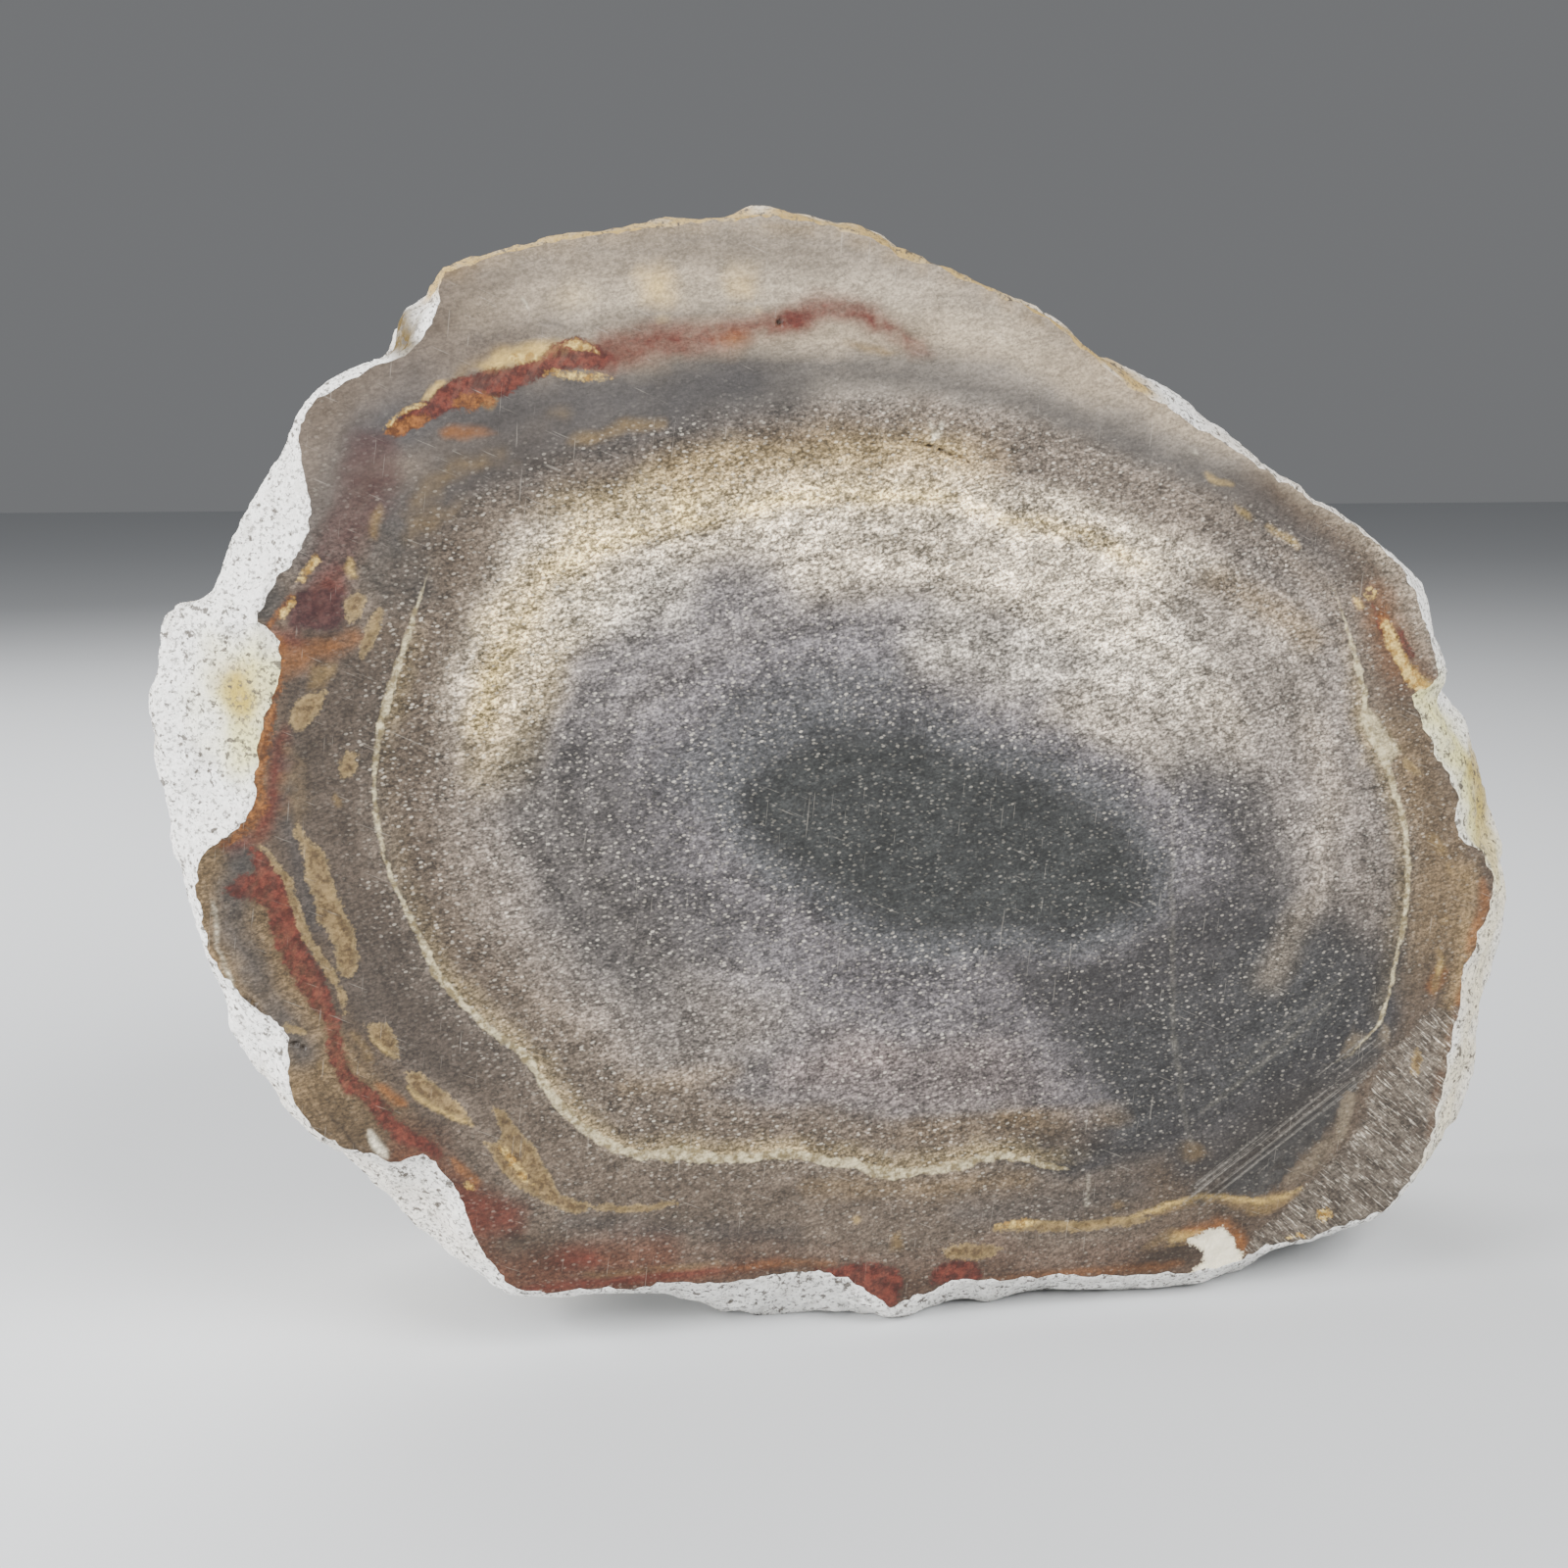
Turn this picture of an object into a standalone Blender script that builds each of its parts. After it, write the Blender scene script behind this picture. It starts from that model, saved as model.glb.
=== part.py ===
# Petrified wood slice: a display slab cut across a silicified log, standing on its ground foot.
# It is one stone. The front cut faces -Y and is polished, the back cut faces +Y and is left sawn,
# and between them runs the rough, chalky rind of the log. The origin is under the middle of the slab.

import math

import bmesh
import bpy
from mathutils import Vector, geometry, noise

NAME = "petrified_wood_slice"
MM = 0.001

# Driving sizes, in millimetres
THICKNESS = 44.0  # from the front cut to the back cut
SWELL_DEPTH = 10.0  # how far behind the front cut the rind stands out furthest
SWELL_CURVE = 0.8  # under 1, the rind leaves the front edge steeply and then rounds over
BACK_SHARE = 0.955  # the back cut's outline, as a share of the swell's
BACK_CURVE = 2.4  # over 1, the rind holds its width and turns in late
SWELL_SMOOTHING, BACK_SMOOTHING = 2, 5  # columns to each side that an outline is averaged over
BACK_WAVE, BACK_WAVE_SIZE = 3.0, 21.0  # how far the back outline wanders, and over what length
FOOT_DROP = 2.6  # how much is ground off the lowest part of the rind to make the foot
FOOT_ZONE = 30.0  # only the rind below this height is part of the underside
FOOT_LEFT, FOOT_RIGHT = -24.0, 52.0  # where the ground foot ends on the way up each side
SWELL_CALM, SWELL_CALM_REACH = 0.75, 4.5  # how much flatter the lumps are on the swell line, and near it
WEAR = 1.0  # how far the rind lies below the smooth barrel between lumps
LUMP_HEIGHT, LUMP_SIZE = 1.5, 15.0  # broad lumps of the rind
KNOB_HEIGHT, KNOB_SIZE = 0.8, 5.5  # small knobs on the lumps
LEDGE_HEIGHT, LEDGE_PITCH = 1.3, 7.0  # furrows and ledges, drawn out along the log
LEDGE_STRETCH, LEDGE_SHARPNESS = 2.6, 6.0
EDGE_FADE = 7.0  # from the front cut's edge to where the lumps have their full height
BACK_STEEPER = 1.6  # how many times faster they reach it from the back cut
CAP_SPACING = 12.0  # between the points inside each cut

# Depths of the rings of the loft, in millimetres behind the front cut
RINGS = (0, 0.8, 2, 3.6, 5.4, 7.6, 10, 12.6, 15.2, 18, 20.8, 23.6, 26.4, 29.2, 32, 34.8, 37.6, 40.2, 42.4)
RINGS += (THICKNESS,)

# Where the eye is when the swell lines up with the numbers below, in millimetres
EYE_X, EYE_Z, EYE_GAP = -66.5, 102.7, 231.9

# Stations clockwise from the upper left corner, in millimetres on the plane of the front cut:
# the x and z of the cut's edge, then the x and z where the swell shows past that edge.
STATIONS = (
    (-49.0, 120.0, -49.5, 120.5),
    (-44.5, 121.3, -44.5, 122.0),
    (-40.0, 122.7, -40.0, 123.4),
    (-35.0, 123.8, -35.0, 124.5),
    (-30.0, 124.4, -30.0, 125.1),
    (-24.0, 125.3, -24.0, 126.0),
    (-19.0, 125.8, -19.0, 126.4),
    (-15.5, 126.2, -15.5, 127.4),
    (-12.0, 126.0, -12.0, 126.7),
    (-7.5, 125.2, -7.5, 125.9),
    (-2.5, 123.8, -2.5, 124.4),
    (0.0, 122.5, 0.0, 123.0),
    (4.5, 121.2, 4.5, 121.8),
    (10.0, 119.0, 10.0, 119.6),
    (14.5, 117.1, 14.5, 117.7),
    (19.0, 114.5, 19.0, 115.1),
    (22.0, 112.1, 22.3, 112.6),
    (26.0, 109.2, 26.7, 110.6),
    (30.0, 107.1, 31.2, 108.7),
    (32.0, 106.0, 34.0, 106.8),
    (34.5, 104.3, 35.5, 105.1),
    (38.5, 102.3, 39.5, 103.3),
    (42.3, 100.1, 42.8, 100.5),
    (44.8, 98.4, 45.2, 98.7),
    (47.0, 97.6, 47.4, 97.9),
    (48.5, 96.1, 48.8, 96.4),
    (52.0, 94.5, 52.3, 94.9),
    (55.5, 92.3, 55.8, 92.6),
    (59.2, 89.6, 59.5, 89.9),
    (61.8, 86.9, 62.1, 87.1),
    (63.5, 83.7, 63.8, 83.8),
    (64.8, 80.3, 65.1, 80.3),
    (66.0, 77.2, 66.3, 77.2),
    (66.3, 74.8, 66.8, 74.4),
    (65.0, 73.6, 67.6, 72.9),
    (63.3, 72.8, 68.6, 71.4),
    (64.2, 70.4, 70.0, 69.9),
    (65.7, 67.8, 71.3, 67.2),
    (67.0, 65.2, 72.6, 64.6),
    (68.8, 62.9, 73.6, 62.2),
    (69.8, 60.2, 74.6, 59.6),
    (69.8, 57.2, 75.6, 56.8),
    (71.0, 54.9, 76.4, 54.3),
    (73.2, 53.9, 76.2, 52.9),
    (74.4, 51.7, 76.8, 51.0),
    (75.2, 49.3, 77.0, 49.3),
    (74.7, 46.6, 76.8, 46.6),
    (73.6, 43.7, 76.4, 43.7),
    (73.0, 41.5, 76.1, 41.3),
    (71.6, 39.7, 75.7, 38.9),
    (71.4, 36.5, 74.9, 36.7),
    (71.3, 33.4, 74.1, 34.6),
    (70.6, 30.3, 74.1, 30.9),
    (70.0, 26.5, 73.6, 26.9),
    (69.1, 22.0, 72.1, 22.2),
    (68.5, 18.5, 70.5, 18.5),
    (67.4, 15.2, 68.4, 15.4),
    (65.3, 12.3, 65.6, 12.1),
    (63.2, 9.9, 63.2, 9.5),
    (60.5, 8.7, 60.5, 8.2),
    (56.5, 7.8, 56.5, 7.2),
    (52.0, 6.4, 52.0, 5.8),
    (47.0, 6.0, 47.0, 5.4),
    (43.5, 4.7, 43.5, 4.2),
    (40.5, 3.9, 40.5, 3.4),
    (36.0, 3.6, 36.0, 3.1),
    (30.5, 3.9, 30.5, 3.0),
    (25.0, 4.3, 26.0, 2.9),
    (19.5, 4.7, 19.5, 3.5),
    (14.0, 4.7, 14.0, 3.3),
    (8.5, 5.2, 9.0, 3.3),
    (5.0, 4.2, 5.5, 3.2),
    (1.5, 3.3, 2.0, 2.4),
    (-0.3, 2.8, 0.0, 1.9),
    (-2.7, 4.4, -2.4, 1.5),
    (-5.0, 6.3, -5.2, 1.6),
    (-9.0, 7.7, -9.0, 2.7),
    (-12.0, 8.0, -12.5, 3.2),
    (-16.5, 7.7, -16.3, 4.3),
    (-21.0, 7.5, -20.5, 5.2),
    (-25.5, 8.1, -25.5, 6.6),
    (-30.0, 7.6, -30.0, 6.9),
    (-35.0, 8.1, -35.0, 7.4),
    (-39.5, 8.1, -39.5, 7.4),
    (-43.8, 9.0, -44.2, 8.8),
    (-45.5, 10.8, -47.0, 11.0),
    (-47.3, 13.4, -50.5, 13.4),
    (-48.7, 16.5, -53.6, 16.4),
    (-49.3, 19.6, -56.6, 19.2),
    (-51.5, 22.7, -59.4, 22.4),
    (-53.6, 25.3, -61.0, 24.9),
    (-56.5, 24.6, -61.9, 26.0),
    (-60.7, 26.2, -62.4, 26.6),
    (-64.2, 28.0, -64.9, 28.0),
    (-66.6, 30.9, -67.5, 30.8),
    (-67.8, 34.5, -69.5, 34.1),
    (-67.6, 38.0, -71.9, 38.0),
    (-68.0, 40.5, -73.3, 40.3),
    (-70.3, 42.3, -74.0, 42.4),
    (-73.2, 45.3, -74.4, 45.2),
    (-75.1, 48.5, -75.6, 48.5),
    (-75.9, 52.5, -76.4, 52.8),
    (-76.4, 56.5, -77.3, 56.4),
    (-76.0, 59.2, -77.9, 59.2),
    (-73.5, 61.4, -78.7, 62.0),
    (-71.1, 63.2, -79.1, 65.0),
    (-70.1, 66.0, -79.5, 68.2),
    (-69.8, 69.5, -79.8, 71.8),
    (-69.3, 72.4, -80.0, 74.8),
    (-68.2, 75.6, -80.0, 77.4),
    (-67.2, 78.6, -79.7, 79.9),
    (-67.0, 81.8, -79.3, 82.4),
    (-69.0, 84.0, -78.0, 85.2),
    (-68.4, 86.6, -76.0, 86.6),
    (-66.6, 89.0, -74.2, 87.3),
    (-64.8, 91.2, -72.7, 89.6),
    (-63.6, 93.8, -71.2, 92.8),
    (-63.5, 96.4, -69.8, 95.6),
    (-64.0, 99.5, -68.0, 98.6),
    (-64.3, 103.0, -65.8, 102.2),
    (-63.7, 105.4, -64.2, 105.6),
    (-61.2, 107.7, -61.6, 108.1),
    (-57.5, 109.6, -57.9, 110.1),
    (-54.0, 111.3, -54.6, 111.8),
    (-51.5, 113.0, -54.0, 113.4),
    (-50.2, 115.4, -53.1, 116.0),
    (-49.6, 118.2, -50.8, 117.4),
)

# Knobs and pits of the rind: x, depth behind the front cut, z, radius, and height (a pit's is below zero)
KNOBS = (
    (-81.0, 24.0, 78.0, 12.0, 0.8),
    (-76.0, 30.0, 60.0, 10.0, 1.2),
    (-76.0, 33.0, 92.0, 10.0, -2.2),
    (-78.0, 8.0, 74.0, 5.0, -0.8),
    (-70.0, 28.0, 40.0, 9.0, -1.8),
    (-54.0, 6.0, 113.5, 4.0, -1.4),
    (-62.0, 30.0, 110.0, 10.0, 1.2),
    (-36.0, 24.0, 124.0, 10.0, -2.0),
    (-15.5, 4.0, 126.5, 4.0, 1.3),
    (-12.0, 33.0, 125.0, 10.0, 1.4),
    (10.0, 18.0, 120.0, 9.0, -1.8),
    (30.0, 31.0, 108.0, 10.0, 1.6),
    (47.0, 20.0, 99.0, 8.0, -1.6),
    (62.0, 33.0, 88.0, 11.0, 1.8),
    (70.0, 19.0, 76.0, 8.0, -1.8),
    (81.0, 27.0, 50.0, 11.0, 1.6),
    (78.0, 35.0, 28.0, 9.0, -2.0),
    (72.0, 18.0, 12.0, 8.0, 1.4),
    (-56.0, 20.0, 17.0, 8.0, -1.6),
    (-12.0, 5.0, 4.0, 4.0, -0.7),
)


def between(before, first, second, after):
    """The point half way from first to second on a smooth curve through all four."""
    return (9 * (first + second) - before - after) / 16


def carried_back(x, z, depth):
    """A point seen on the plane of the front cut, moved back along its line of sight."""
    stretch = 1 + depth / EYE_GAP
    return Vector((EYE_X + (x - EYE_X) * stretch, EYE_Z + (z - EYE_Z) * stretch))


def with_midpoints(points):
    """The closed outline, with one smooth point added between each two."""
    count = len(points)
    full = []
    for i, point in enumerate(points):
        full.append(point)
        full.append(between(points[i - 1], point, points[(i + 1) % count], points[(i + 2) % count]))
    return full


def smoothed(points, reach):
    """Each point of a closed outline averaged with its neighbours."""
    count = len(points)
    near = range(-reach, reach + 1)
    means = []
    for i in range(count):
        total = sum((points[(i + step) % count] for step in near), Vector((0, 0)))
        means.append(total / len(near))
    return means


def outward(points):
    """The direction out of a clockwise outline at each point."""
    count = len(points)
    directions = []
    for i in range(count):
        along = points[(i + 1) % count] - points[i - 1]
        directions.append(Vector((-along.y, along.x)).normalized())
    return directions


def foot_share(x):
    """1 over the middle of the foot, falling to 0 at its ends."""
    middle, reach = (FOOT_LEFT + FOOT_RIGHT) / 2, (FOOT_RIGHT - FOOT_LEFT) / 2
    away = min(abs(x - middle) / reach, 1.0)
    return 1 - away**4


def rind_height(place, depth):
    """How far the rind's lumps, knobs and ledges stand out at a place, in millimetres."""
    edge = min(depth, BACK_STEEPER * (THICKNESS - depth))  # both cuts are plain at their edges
    fade = min(edge / EDGE_FADE, 1.0)
    fade *= 1 - SWELL_CALM * math.exp(-(((depth - SWELL_DEPTH) / SWELL_CALM_REACH) ** 2))
    height = LUMP_HEIGHT * noise.noise(place / LUMP_SIZE) - WEAR
    height += KNOB_HEIGHT * noise.noise(place / KNOB_SIZE)
    layer = noise.noise(Vector((place.x, place.y / LEDGE_STRETCH, place.z)) / LEDGE_PITCH)
    height += LEDGE_HEIGHT * math.tanh(LEDGE_SHARPNESS * layer) / 2
    for x, knob_depth, z, radius, rise in KNOBS:
        near = (place - Vector((x, knob_depth, z))).length / radius
        if near < 1:
            height += rise * (1 - near**2) ** 2
    return fade * height


def rings_of_slab():
    """The loft's rings, each a list of points in millimetres, y running back from the front cut."""
    front = with_midpoints([Vector((x, z)) for x, z, _, _ in STATIONS])
    swell = with_midpoints([carried_back(x, z, SWELL_DEPTH) for _, _, x, z in STATIONS])
    middle = sum(swell, Vector((0, 0))) / len(swell)
    directions = outward(smoothed(swell, SWELL_SMOOTHING))
    calm = smoothed(swell, BACK_SMOOTHING)
    back = []
    for point, direction in zip(calm, outward(calm)):
        wander = noise.noise(Vector((point.x, THICKNESS, point.y)) / BACK_WAVE_SIZE)
        back.append(middle + BACK_SHARE * (point - middle) + BACK_WAVE * wander * direction)
    rings = []
    for depth in RINGS:
        ring = []
        for edge, wide, rear, direction in zip(front, swell, back, directions):
            if depth <= SWELL_DEPTH:
                point = edge.lerp(wide, (depth / SWELL_DEPTH) ** SWELL_CURVE)
            else:
                way = (depth - SWELL_DEPTH) / (THICKNESS - SWELL_DEPTH)
                point = wide.lerp(rear, way**BACK_CURVE)
            place = Vector((point.x, depth, point.y))
            point = point + direction * rind_height(place, depth)
            if point.y < FOOT_ZONE:
                share = min(depth / SWELL_DEPTH, 1.0)
                point.y -= FOOT_DROP * share * foot_share(point.x)
            ring.append(Vector((point.x, depth, point.y)))
        rings.append(ring)
    return rings


def grounded(rings):
    """The rings with the foot ground flat at z = 0 and the slab's middle over the origin."""
    xs = [point.x for ring in rings for point in ring]
    middle = (min(xs) + max(xs)) / 2
    return [
        [Vector((point.x - middle, point.y - THICKNESS / 2, max(point.z, 0.0))) for point in ring]
        for ring in rings
    ]


def points_inside(ring):
    """A staggered grid of points inside a cut's outline, clear of its edge."""
    outline = [Vector((point.x, point.z)) for point in ring]
    left, right = min(p.x for p in outline), max(p.x for p in outline)
    bottom, top = min(p.y for p in outline), max(p.y for p in outline)
    inside = []
    for row in range(1, int((top - bottom) / CAP_SPACING) + 1):
        for step in range(1, int((right - left) / CAP_SPACING) + 1):
            x = left + (step - 0.5 * (row % 2)) * CAP_SPACING
            point = Vector((x, bottom + row * CAP_SPACING))
            clear = min((point - near).length for near in outline) > CAP_SPACING / 2
            crossings = sum(
                (a.y > point.y) != (b.y > point.y)
                and point.x < a.x + (point.y - a.y) * (b.x - a.x) / (b.y - a.y)
                for a, b in zip(outline, outline[1:] + outline[:1])
            )
            if clear and crossings % 2:
                inside.append(point)
    return outline, inside


def close_cut(shape, row, ring):
    """Flat, even triangles across one cut."""
    outline, inside = points_inside(ring)
    count = len(outline)
    edges = [(i, (i + 1) % count) for i in range(count)]
    found = geometry.delaunay_2d_cdt(outline + inside, edges, [], 1, 1e-4)
    depth = ring[0].y
    corners = list(row) + [shape.verts.new(Vector((p.x, depth, p.y)) * MM) for p in inside]
    for a, b, c in found[2]:
        shape.faces.new((corners[found[3][a][0]], corners[found[3][b][0]], corners[found[3][c][0]]))


def slab_mesh():
    rings = grounded(rings_of_slab())
    shape = bmesh.new()
    rows = [[shape.verts.new(point * MM) for point in ring] for ring in rings]
    count = len(rows[0])
    for near, far in zip(rows, rows[1:]):
        for i in range(count):
            after = (i + 1) % count
            shape.faces.new((near[i], near[after], far[after], far[i]))
    close_cut(shape, rows[0], rings[0])
    close_cut(shape, rows[-1], rings[-1])
    bmesh.ops.triangulate(shape, faces=shape.faces, quad_method="SHORT_EDGE")
    bmesh.ops.recalc_face_normals(shape, faces=shape.faces)
    mesh = bpy.data.meshes.new(NAME)
    shape.to_mesh(mesh)
    shape.free()
    return mesh


def stone_material():
    """Grey-brown silicified wood."""
    material = bpy.data.materials.new("silicified_wood")
    material.use_nodes = True
    shader = material.node_tree.nodes["Principled BSDF"]
    shader.inputs["Base Color"].default_value = (0.16, 0.145, 0.14, 1.0)
    shader.inputs["Roughness"].default_value = 0.35
    return material


def main():
    for old in list(bpy.data.objects):
        bpy.data.objects.remove(old, do_unlink=True)
    parts = bpy.data.collections.new(NAME)
    bpy.context.scene.collection.children.link(parts)
    mesh = slab_mesh()
    mesh.materials.append(stone_material())
    slab = bpy.data.objects.new(NAME, mesh)
    parts.objects.link(slab)
    mesh.shade_smooth()
    mesh.set_sharp_from_angle(angle=math.radians(40))


main()
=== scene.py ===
import math
from functools import partial

import bmesh
import bpy
import numpy as np
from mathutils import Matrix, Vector, geometry, noise


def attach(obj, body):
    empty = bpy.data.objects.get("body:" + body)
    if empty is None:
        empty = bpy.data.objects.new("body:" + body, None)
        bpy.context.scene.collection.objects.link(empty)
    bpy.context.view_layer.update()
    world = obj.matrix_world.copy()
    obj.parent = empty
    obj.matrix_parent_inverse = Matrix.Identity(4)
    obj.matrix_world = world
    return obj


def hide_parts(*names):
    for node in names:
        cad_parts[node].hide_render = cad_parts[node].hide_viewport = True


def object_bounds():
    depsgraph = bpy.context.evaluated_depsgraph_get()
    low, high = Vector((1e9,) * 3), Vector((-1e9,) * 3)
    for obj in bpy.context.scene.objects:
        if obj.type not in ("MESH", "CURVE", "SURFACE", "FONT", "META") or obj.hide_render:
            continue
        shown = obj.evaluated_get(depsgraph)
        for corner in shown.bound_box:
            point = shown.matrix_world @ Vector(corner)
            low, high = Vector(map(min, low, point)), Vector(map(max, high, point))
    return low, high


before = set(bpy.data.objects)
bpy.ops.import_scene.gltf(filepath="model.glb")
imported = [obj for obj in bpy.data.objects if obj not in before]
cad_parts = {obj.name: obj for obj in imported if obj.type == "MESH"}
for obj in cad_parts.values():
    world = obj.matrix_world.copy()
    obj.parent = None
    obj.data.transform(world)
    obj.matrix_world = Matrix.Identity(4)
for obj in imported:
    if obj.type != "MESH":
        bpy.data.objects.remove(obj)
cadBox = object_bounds()
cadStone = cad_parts["petrified_wood_slice"]
mm = 0.001
slide = 0.982  # the listed numbers lie this many mm to the right of the stone's own middle
farOff = 1e9  # farther than anything on the stone
mergeGap = 1e-5  # metres: points this close to a cut are on it
print("frame loaded")

# Petrified wood slice, one stone: what a user would change. Lengths are in millimetres.
slab = {
    "frontDepth": -22.0,
    "backDepth": 22.0,
    "fineSpacing": 0.5,  # points of the front cut near a crisp marking
    "openSpacing": 1.5,  # points of the front cut in plain wood
    "fineReach": 1.0,  # how far from a marking's edge the fine points go
    "spacingGap": 0.4,  # between the fine points and the open ones
    "backSpacing": 1.7,
    "rimGap": 0.28,  # between the points on a cut's edge and those inside it
    "edgeWander": 0.5,  # how far the cuts' edges are nibbled
    "edgeWanderSize": 1.7,
    "rindSmoothing": 3,
    "crackDepth": 0.5,
    "inclusionDepth": 0.35,
    "plainFrom": 0.88,  # a marking of this strength or more has an edge, a fainter one is a veil
    "levelLimit": 3.0,  # how deep inside a marking is told apart, in units of its softness
    "seamWaver": 0.3,
    "creamShare": 0.48,  # half of the cream ring's width, as a share of the thickness that is listed
    "ringMiddle": (5.0, 57.0),  # angles are measured about this point
    "heartReach": 12.0,  # this far inside the heart's edge counts as ring -1
    "outerReach": 30.0,  # this far outside the cream ring counts as ring 2
    "backMiddle": (2.0, 62.0),
    "backNarrowing": 0.97,  # the rings at the back, against those at the front
    "reliefFade": 1.2,  # the rind's relief starts this far from the cuts and the foot
    "polishDepth": 1.45,
    "polishPivot": 0.55,
}

# Broad tones of the wood, sRGB
tones = {
    "core": "4D4E4D", "coreEdge": "555555", "inner": "686869", "lilac": "7B7778", "grey": "817D7E",
    "warmGrey": "8C857F", "taupe": "8A8076", "brownGrey": "7B7166", "outerBrown": "6C6156", "darkBrown": "63584E",
    "paleBeige": "CFC3B0", "goldenLine": "CDBA88", "goldenBeige": "B4A47E", "slate": "605D5C", "deepSlate": "525050",
    "rose": "8C817D", "lowGrey": "767273", "topBeige": "A99D8C", "topGrey": "979087", "tan": "9E8A68",
    "white": "CFC7BA", "rust": "74503F",
}

# Markings, sRGB: a main colour, the one that it is mottled with, and the colour along its edge
pigments = {
    "slate": ("4A4846", "605D5A", "585552"), "brown": ("3E352E", "57493C", "4A3E34"),
    "maroon": ("5A3637", "704A46", "503438"), "red": ("6E3229", "964C3C", "5C3330"),
    "orange": ("80502C", "B4743C", "6C4028"), "ochre": ("755D3C", "A2875A", "B49C6A"),
    "yellow": ("B98E3E", "E6C878", "8E6636"), "pale": ("E2D7B8", "F5EDD6", "B9A070"),
    "creamLine": ("98875E", "D6C9A2", "98875E"), "tan": ("7C6D5A", "A09077", "7C6D5A"),
}
channels = ["slate", "brown", "maroon", "red", "orange", "ochre", "yellow", "pale", "sawn", "dragged"]

# Closed outline of the charcoal heart
heart = [
    (-17.7, 63.5), (-14.6, 67.2), (-9.6, 69.8), (-4.6, 70.4), (1.2, 69.9), (7, 67.8), (12.3, 65.7), (17.6, 64.2),
    (22.3, 62.1), (27.1, 58), (29.9, 53.6), (30, 49.6), (26.8, 47.4), (22, 46.8), (16.6, 46.8), (10, 46.9),
    (3.5, 47), (-1.7, 48.6), (-5.5, 51.3), (-9.4, 54), (-13.2, 57.4), (-16.4, 60),
]

# The thin cream ring: x, z and its thickness. Where the thickness is 0 the ring isn't drawn, but the bands follow it.
creamRing = [
    (-51.6, 88.3, 0.1), (-52.5, 85.6, 0.3), (-53.3, 83.3, 0.5), (-54, 81, 0.7), (-54.9, 78.7, 0.9), (-55.8, 76, 1),
    (-56.6, 73.3, 0.8), (-57.1, 70.9, 0.6), (-57.4, 68.9, 0.5), (-57.6, 66.2, 0.45), (-57.5, 63.5, 0.45),
    (-57.2, 61.2, 0.45), (-56.8, 59, 0.45), (-56.1, 56.6, 0.5), (-55.3, 54.5, 0.5), (-54.1, 51.7, 0.6),
    (-52.9, 48.8, 0.8), (-51.2, 45, 1), (-49, 42.3, 1), (-46.5, 39.6, 0.9), (-45, 38.2, 0.9), (-42.9, 36.5, 0.9),
    (-41.6, 35, 1), (-40.3, 32.6, 1), (-38.9, 30.5, 1.1), (-37.4, 28.5, 1.1), (-35.9, 27.2, 1.1),
    (-33.7, 25.5, 1.1), (-31.8, 24.2, 1.1), (-29.6, 23.5, 1.2), (-27, 23.3, 1.6), (-24.9, 23.4, 2.3),
    (-22.4, 22.8, 1.5), (-20.3, 22.3, 1.2), (-17, 22.3, 1.2), (-14.2, 22.4, 1.2), (-11.7, 22.2, 1.2),
    (-10, 21.7, 1.3), (-7.5, 21.1, 1.3), (-4.6, 20.6, 1.2), (-2.4, 19.7, 1.3), (-0.2, 19, 1.3), (2.7, 19.1, 1.2),
    (5.7, 19.2, 1.2), (8.3, 19.6, 1.2), (10.5, 20.2, 1.1), (13.1, 20.2, 1), (15.7, 19.6, 0.9), (17.6, 18.9, 0.7),
    (19.8, 18.3, 0.5), (22, 17.7, 0), (26, 18.5, 0), (34, 20.5, 0), (42, 24, 0), (50, 27, 0), (57, 29.5, 0.1),
    (60.5, 33, 0.4), (61.2, 34.9, 0.5), (61.8, 37.3, 0.5), (62.2, 39.7, 0.5), (62.6, 42, 0.5), (63.2, 44.9, 0.7),
    (63.5, 48.7, 0.8), (63.5, 52, 0.8), (63.2, 54.8, 0.8), (62.7, 57.5, 0.8), (62, 59.7, 0.8), (61.3, 61.2, 0.8),
    (60.4, 64, 0.9), (59.3, 66, 1.2), (57.9, 68.2, 1.2), (57, 71, 1), (56.8, 73.5, 0.8), (56, 75.8, 0.7),
    (55.3, 78.1, 0.6), (54.6, 80, 0.4), (53.9, 81.9, 0.3), (52.5, 85.3, 0.1), (50.5, 87.6, 0), (48, 89.5, 0),
    (38, 95, 0), (25, 100, 0), (10, 105, 0), (-5, 106, 0), (-20, 104.5, 0), (-35, 101, 0), (-45, 97, 0),
    (-50, 91, 0),
]

# Tone at each place from the heart (0) to the cream ring (1) and on to the rind (+1 for each 30 mm)
ringTones = [
    (-0.6, "core"), (-0.15, "core"), (-0.02, "coreEdge"), (0.06, "inner"), (0.16, "lilac"), (0.32, "grey"),
    (0.5, "warmGrey"), (0.65, "warmGrey"), (0.8, "taupe"), (0.92, "brownGrey"), (1.02, "brownGrey"),
    (1.1, "outerBrown"), (1.3, "outerBrown"), (1.5, "darkBrown"), (1.8, "darkBrown"),
]

# How the bands wander: share of a ring, size in mm, seed
bandWander = [(0.035, 9.0, 3.1), (0.018, 3.4, 7.7)]

# Golden fuzz on the inner side of the cream ring: how far it reaches and how soft it is, in mm, and its strength
fuzzReach, fuzzSoft, fuzzStrength = 2.6, 2.2, 0.36

# How plainly the pores show from ring -0.5 to 1.5, and how deep the grain is in dark, middling and light wood
poreRings = [(-0.5, 0.42), (-0.05, 0.48), (0.08, 1.2), (0.5, 1.2), (0.9, 1.0), (1.1, 0.6), (1.3, 0.4), (1.5, 0.3)]
grainDepths = [(0.02, 0.8), (0.1, 1.4), (0.4, 2.35)]

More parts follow.
